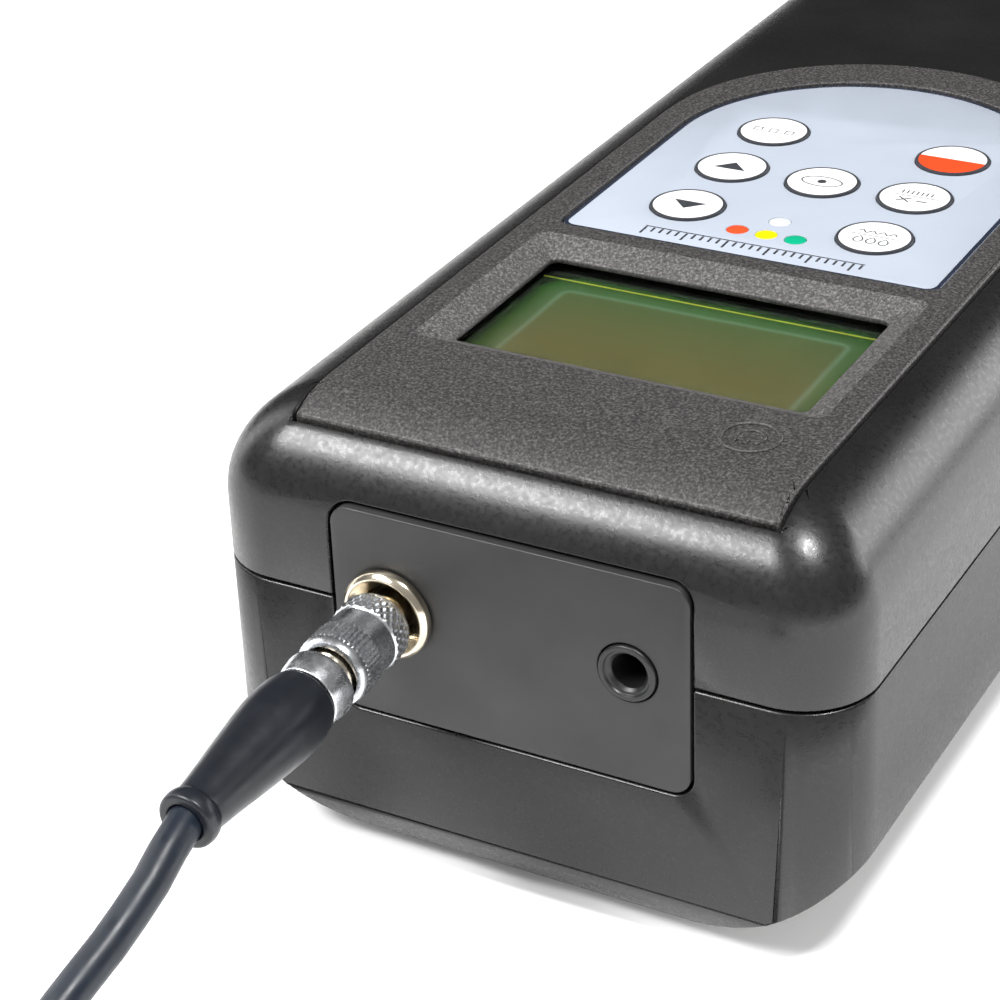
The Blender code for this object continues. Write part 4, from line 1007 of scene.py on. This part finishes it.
def make_faceplate():
    """The textured panel with its sunken window, keypad pocket and holes."""
    outer = housing(-PLATE_PROUD, SEAM_Z + GAP, HEIGHT + PLATE_PROUD)
    plate = show("face_panel", outer, ROOT, FACEPLATE, "faceplate")
    carve(plate, plate_space(0, PLATE_T), operation="INTERSECT")
    corner = 0.9 * MM
    rings = []
    for level, grow in ((-WINDOW_BEVEL_DEPTH, 0.0), (WINDOW_BEVEL_DEPTH, 2.0 * WINDOW_BEVEL)):
        rings.append([(x, y, HEIGHT + level) for x, y in around_window(grow, corner)])
    low, high = HEIGHT - 5 * MM, HEIGHT + MM
    sunk = arched(OVERLAY_HALF_W + GAP, OVERLAY_FRONT_Y - GAP, OVERLAY_ARCH_Y, 1.6 * MM)
    carve(plate, loft(rings), slab(around_window(0, corner), low, high))
    carve(plate, slab(sunk, HEIGHT - OVERLAY_SINK, high))
    for at in KEYS.values():
        carve(plate, post(KEY_STEM_R + GAP, low, HEIGHT, at, 24))
    for at in LEDS.values():
        carve(plate, post(LED_R + GAP, low, HEIGHT, at, 20))
    soften(plate, 0.24 * MM, 3, 18)
    # The sloping faces round the window take the lighter copy: painted light on the bevel.
    plate.data.materials.append(BEVEL)
    reach = WINDOW_BEVEL + 0.7 * MM
    for face in plate.data.polygons:
        x, y, z = face.center
        near = abs(x) < WINDOW_HALF_W + reach and WINDOW_FRONT_Y - reach < y < WINDOW_BACK_Y + reach
        sloping = 0.6 < face.normal.z < 0.96 and z > HEIGHT - WINDOW_BEVEL_DEPTH - 0.1 * MM
        if near and sloping:
            face.material_index = 1


def make_overlay():
    """The keypad film with its printed border."""
    bottom = HEIGHT - OVERLAY_SINK + SEAT
    outline = arched(OVERLAY_HALF_W, OVERLAY_FRONT_Y, OVERLAY_ARCH_Y, 1.4 * MM)
    film = show("keypad_film", slab(outline, bottom, OVERLAY_TOP), ROOT, OVERLAY, "keypad_overlay")
    for at in KEYS.values():
        carve(film, post(KEY_R + 0.12 * MM, bottom - MM, HEIGHT + MM, at, 56))
    for at in LEDS.values():
        carve(film, post(LED_R + 0.06 * MM, bottom - MM, HEIGHT + MM, at, 32))
    soften(film, 0.05 * MM, 1)
    trim = 0.42 * MM
    inner = arched(OVERLAY_HALF_W - trim, OVERLAY_FRONT_Y + trim, OVERLAY_ARCH_Y, 1.1 * MM)
    edge = raw(slab(outline, OVERLAY_TOP - PRINT_SINK, OVERLAY_TOP + 0.02 * MM))
    carve(edge, slab(inner, OVERLAY_TOP - MM, OVERLAY_TOP + MM))
    show("film_border", edge, ROOT, EDGE_INK)


def joined(meshes):
    """One mesh from several separate closed forms."""
    bm = bmesh.new()
    for mesh in meshes:
        bm.from_mesh(mesh)
    return to_mesh(bm)


def sweep(points, section, closed=False, angle=32):
    """Carries a section of (across, height) points along plan points."""
    count = len(points)
    bm = bmesh.new()
    rows = []
    for i, point in enumerate(points):
        before = points[i - 1] if i or closed else point
        after = points[(i + 1) % count] if i < count - 1 or closed else point
        along = Vector((after[0] - before[0], after[1] - before[1])).normalized()
        rows.append([bm.verts.new((point[0] - along.y * s, point[1] + along.x * s, z)) for s, z in section])
    skin(bm, rows, closed)
    if not closed:
        cap(bm, rows)
    return to_mesh(bm, angle)


def stroke(points, width, low, high, closed=False):
    """A flat printed line of constant width."""
    half = width / 2
    return sweep(points, [(half, low), (-half, low), (-half, high), (half, high)], closed)


def key_marks(name, cx, cy):
    """A generic pictogram for each key, in plan, as thin raised print."""
    low, high = KEY_TOP - PRINT_SINK, KEY_TOP + PRINT_RISE

    def poly(points):
        return slab([(cx + x * MM, cy + y * MM) for x, y in points], low, high)

    def line(points, width, closed=False):
        return stroke([(cx + x * MM, cy + y * MM) for x, y in points], width * MM, low, high, closed)

    if name == "key_up":
        return [poly([(-1.9, -0.75), (1.9, -0.75), (0.0, 1.15)])]
    if name == "key_down":
        return [poly([(-1.9, 0.75), (0.0, -1.15), (1.9, 0.75)])]
    if name == "key_select":
        square = [(-0.45, -0.45), (0.45, -0.45), (0.45, 0.45), (-0.45, 0.45)]
        return [line([(x + shift, y) for x, y in square], 0.16, True) for shift in (-1.9, 0.0, 1.9)]
    if name == "key_read":
        eye = [(2.3 * x, 1.25 * y) for x, y in disc((0, 0), 1, 48)]
        return [line(eye, 0.16, True), poly(disc((0, 0), 0.5, 32))]
    if name == "key_delete":
        marks = [line([(-1.6, -1.5), (-0.2, -0.4)], 0.2), line([(-1.6, -0.4), (-0.2, -1.5)], 0.2)]
        marks.append(line([(-2.6, 0.15), (2.6, 0.15)], 0.1))
        marks += [line([(0.5 + 0.55 * i, 0.6), (0.5 + 0.55 * i, 1.5)], 0.16) for i in range(-4, 3)]
        return marks + [line([(0.5, -0.95), (1.7, -0.95)], 0.22)]
    if name == "key_measure":
        side = [(0.42, -0.85), (0.5, -1.3), (0.3, -1.65)]
        drop = [(0.0, -0.25)] + side + [(0.0, -1.8)] + [(-x, y) for x, y in reversed(side)]
        marks = [line([(-2.6, 0.15), (2.6, 0.15)], 0.1)]
        marks += [line([(x + shift, y) for x, y in drop], 0.17, True) for shift in (-1.4, 0.0, 1.4)]
        wave = [(-2.1 + 0.14 * i, 1.05 + 0.32 * math.sin(0.75 * i)) for i in range(31)]
        return marks + [line(wave, 0.16)]
    return []


def make_keys():
    """Each key's pad, printed outline and pictogram, which move with it."""
    low = HEIGHT - OVERLAY_SINK + KEY_TRAVEL + 0.1 * MM
    stem_low = DOMES_TOP + DOME_RISE + KEY_TRAVEL + 0.1 * MM
    pad = [(0, KEY_TOP), (KEY_R - 0.24 * MM, KEY_TOP), (KEY_R - 0.08 * MM, KEY_TOP - 0.02 * MM)]
    pad += [(KEY_R, KEY_TOP - 0.12 * MM), (KEY_R, low)]
    pad += [(KEY_STEM_R, low), (KEY_STEM_R, stem_low), (0, stem_low)]
    inner, outer = KEY_R - 0.3 * MM, KEY_R + 0.03 * MM
    band = [(inner, KEY_TOP + 0.02 * MM), (KEY_R, KEY_TOP), (outer, KEY_TOP - 0.12 * MM)]
    band += [(outer, KEY_TOP - 0.3 * MM), (inner, KEY_TOP - 0.3 * MM)]
    for name, (x, y) in KEYS.items():
        place = Matrix.Translation((x, y, 0))
        finish = POWER_KEY if name == "key_power" else KEY_FILM
        short = name.split("_")[1]
        show("pad_" + short, lathe(pad, 72, place), name, finish, name)
        show("outline_" + short, lathe(band, 72, place), name, INK)
        marks = key_marks(name, x, y)
        if marks:
            show("pictogram_" + short, joined(marks), name, INK)


def make_title_scale():
    """A printed graduation along the film's front edge."""
    low, high = OVERLAY_TOP - PRINT_SINK, OVERLAY_TOP + PRINT_RISE
    y = FRONT_Y + 54.9 * MM
    half = 0.13 * MM
    bars = []
    for i in range(27):
        x = (-12.3 + i * 24.4 / 26) * MM
        tall = 1.75 * MM if i % 5 == 0 else 1.05 * MM
        bars.append(block((x - half, y - tall, low), (x + half, y, high)))
    bars.append(block((-12.5 * MM, y + 0.1 * MM, low), (12.3 * MM, y + 0.28 * MM, high)))
    show("printed_scale", joined(bars), ROOT, INK)


def ridge(points, width, height, closed=False):
    """A raised rounded ridge on the faceplate."""
    form = [(-0.5, -0.4), (-0.42, 0.55), (-0.2, 0.95), (0.2, 0.95), (0.42, 0.55), (0.5, -0.4)]
    section = [(width * s, HEIGHT + PLATE_PROUD + height * h) for s, h in form]
    return sweep(points, section, closed, 60)


def make_emboss():
    """The moulded round mark beside the display: an outer ring, an open ring and a bar."""
    cx, cy = 17.2 * MM, FRONT_Y + 15.6 * MM
    opening = 38
    parts = [
        ridge(disc((cx, cy), 2.75 * MM, 72), 0.55 * MM, 0.26 * MM, True),
        ridge(arc((cx, cy), 1.35 * MM, opening - 90, 270 - opening, 40), 0.42 * MM, 0.2 * MM),
        ridge([(cx, cy - 1.5 * MM), (cx, cy - 0.3 * MM)], 0.42 * MM, 0.2 * MM),
    ]
    show("moulded_mark", joined(parts), ROOT, FACEPLATE)


def make_end():
    """The end plate with the socket's flange and the data jack."""
    lip_front = FRONT_Y + END_FRONT_T
    plate = show("end_panel", end_block(0, FRONT_Y, lip_front), ROOT, END_BLACK, "end_plate")
    carve(plate, end_block(END_LIP, lip_front - 0.01 * MM, lip_front + END_LIP_T), operation="UNION")
    depth = FRONT_Y + 6 * MM
    carve(plate, end_round(BARREL_R + 0.2 * MM, SOCKET_X, FRONT_Y - MM, depth))
    carve(plate, end_round(JACK_R + 0.12 * MM, JACK_X, FRONT_Y - MM, depth))
    soften(plate, 0.16 * MM)
    flange = in_mm([(0, -6.2), (2.7, -6.2)]) + in_mm([(2.7, -1.3), (3.75, -0.25), (3.95, 0)], FLANGE_OUT)
    flange += [(FLANGE_R - 0.45 * MM, FLANGE_OUT), (FLANGE_R, FLANGE_OUT - 0.5 * MM)]
    flange += [(FLANGE_R, SEAT), (BARREL_R, SEAT), (BARREL_R, -9 * MM), (0, -9 * MM)]
    mesh = lathe(round_profile(flange, 0.2 * MM), 96, outward(SOCKET_X), angle=40)
    show("socket_flange", mesh, ROOT, NICKEL, "panel_socket")
    proud = 0.3 * MM
    jack = [(0, -13 * MM), (JACK_BORE_R, -13 * MM), (JACK_BORE_R, -0.35 * MM)]
    jack += [(JACK_BORE_R + 0.35 * MM, 0.02 * MM), (JACK_R - 0.62 * MM, 0.02 * MM)]
    jack += [(JACK_R - 0.5 * MM, proud), (JACK_R - 0.12 * MM, proud), (JACK_R, proud - 0.15 * MM)]
    jack += [(JACK_R, -6.3 * MM)] + in_mm([(4.2, -6.3), (4.2, -14), (0, -14)])
    mesh = lathe(round_profile(jack, 0.08 * MM), 72, outward(JACK_X))
    show("jack_body", mesh, ROOT, DARK, "data_jack")


def make_leds():
    """The four indicator lenses, flush with the film."""
    tip = OVERLAY_TOP + 0.03 * MM
    foot = BOARD_TOP + SEAT
    lens = [(0, tip), (LED_R * 0.75, tip - 0.02 * MM), (LED_R, tip - 0.1 * MM), (LED_R, foot), (0, foot)]
    for name, (x, y) in LEDS.items():
        mesh = lathe(lens, 40, Matrix.Translation((x, y, 0)))
        show("lens_" + name.split("_")[1], mesh, ROOT, finish_of(name), name)


def make_window():
    """The clear pane under the panel, with rounded corners."""
    top = HEIGHT - PLATE_T - GAP
    pane = slab(around_window(2.4 * MM, MM, 5), top - 0.8 * MM, top)
    show("clear_pane", pane, ROOT, GLASS, "display_window")


make_top_shell()
make_bottom_shell()
make_battery_cover()
make_faceplate()
make_overlay()
make_keys()
make_title_scale()
make_emboss()
make_end()
make_leds()
make_window()
relief = make_plug()
make_probe()
tie = make_tie()
lead, lead_length = make_lead()


# -------- floor and light
MIDDLE = Vector((0.0, -0.03, 0.03))


def softbox(name, place, wide, tall, power):
    """A rectangular light aimed at the middle of the meter."""
    data = bpy.data.lights.new(name, "AREA")
    data.shape = "RECTANGLE"
    data.size, data.size_y = wide, tall
    data.energy = power
    obj = bpy.data.objects.new(name, data)
    obj.location = place
    obj.rotation_euler = (obj.location - MIDDLE).to_track_quat("Z", "Y").to_euler()
    scene.collection.objects.link(obj)


def make_floor():
    """White paper that glows more towards +X, where the lights reach it less."""
    outline = rounded_rect(-3.0, 3.0, -3.0, 3.0, 0.5, steps=6)
    floor = raw(slab(outline, -4 * MM, 0.0))
    floor.name = "floor"
    paint = Paint("floor_paper", (0.93, 0.93, 0.93), 0.85)
    paint.tint(paint.noise(6, 2), shades((0.93, 0.93, 0.93), 0.01))
    glow = paint.remap(paint.axes()[0], 0.12, 1.9, 0.0, 0.35)
    paint.set("Emission Color", (1, 1, 1, 1))
    paint.link(glow, paint.shader.inputs["Emission Strength"])
    floor.data.materials.append(paint.mat)


def make_world():
    """A dim surround, lighter towards the front and overhead."""
    world = bpy.data.worlds.new("studio")
    world.use_nodes = True
    tree = world.node_tree
    background = tree.nodes["Background"]
    coords = tree.nodes.new("ShaderNodeTexCoord")
    dot = tree.nodes.new("ShaderNodeVectorMath")
    dot.operation = "DOT_PRODUCT"
    dot.inputs[1].default_value = (0.25, -0.72, 0.65)
    tree.links.new(coords.outputs["Generated"], dot.inputs[0])
    ramp = tree.nodes.new("ShaderNodeMapRange")
    for key, value in (("From Min", -0.35), ("From Max", 0.9), ("To Min", 0.05), ("To Max", 0.36)):
        ramp.inputs[key].default_value = value
    tree.links.new(dot.outputs["Value"], ramp.inputs["Value"])
    tree.links.new(ramp.outputs["Result"], background.inputs["Strength"])
    background.inputs["Color"].default_value = (1.0, 0.99, 0.98, 1.0)
    scene.world = world


make_floor()
make_world()
softbox("key_left", (-0.42, -0.52, 0.74), 0.50, 0.20, 9.6)
softbox("top_right", (0.27, -0.17, 0.80), 0.13, 0.13, 5.6)
softbox("side_left", (-0.80, 0.05, 0.35), 0.25, 0.7, 1.6)
softbox("back_right", (0.55, 0.68, 0.30), 0.7, 0.35, 4.0)
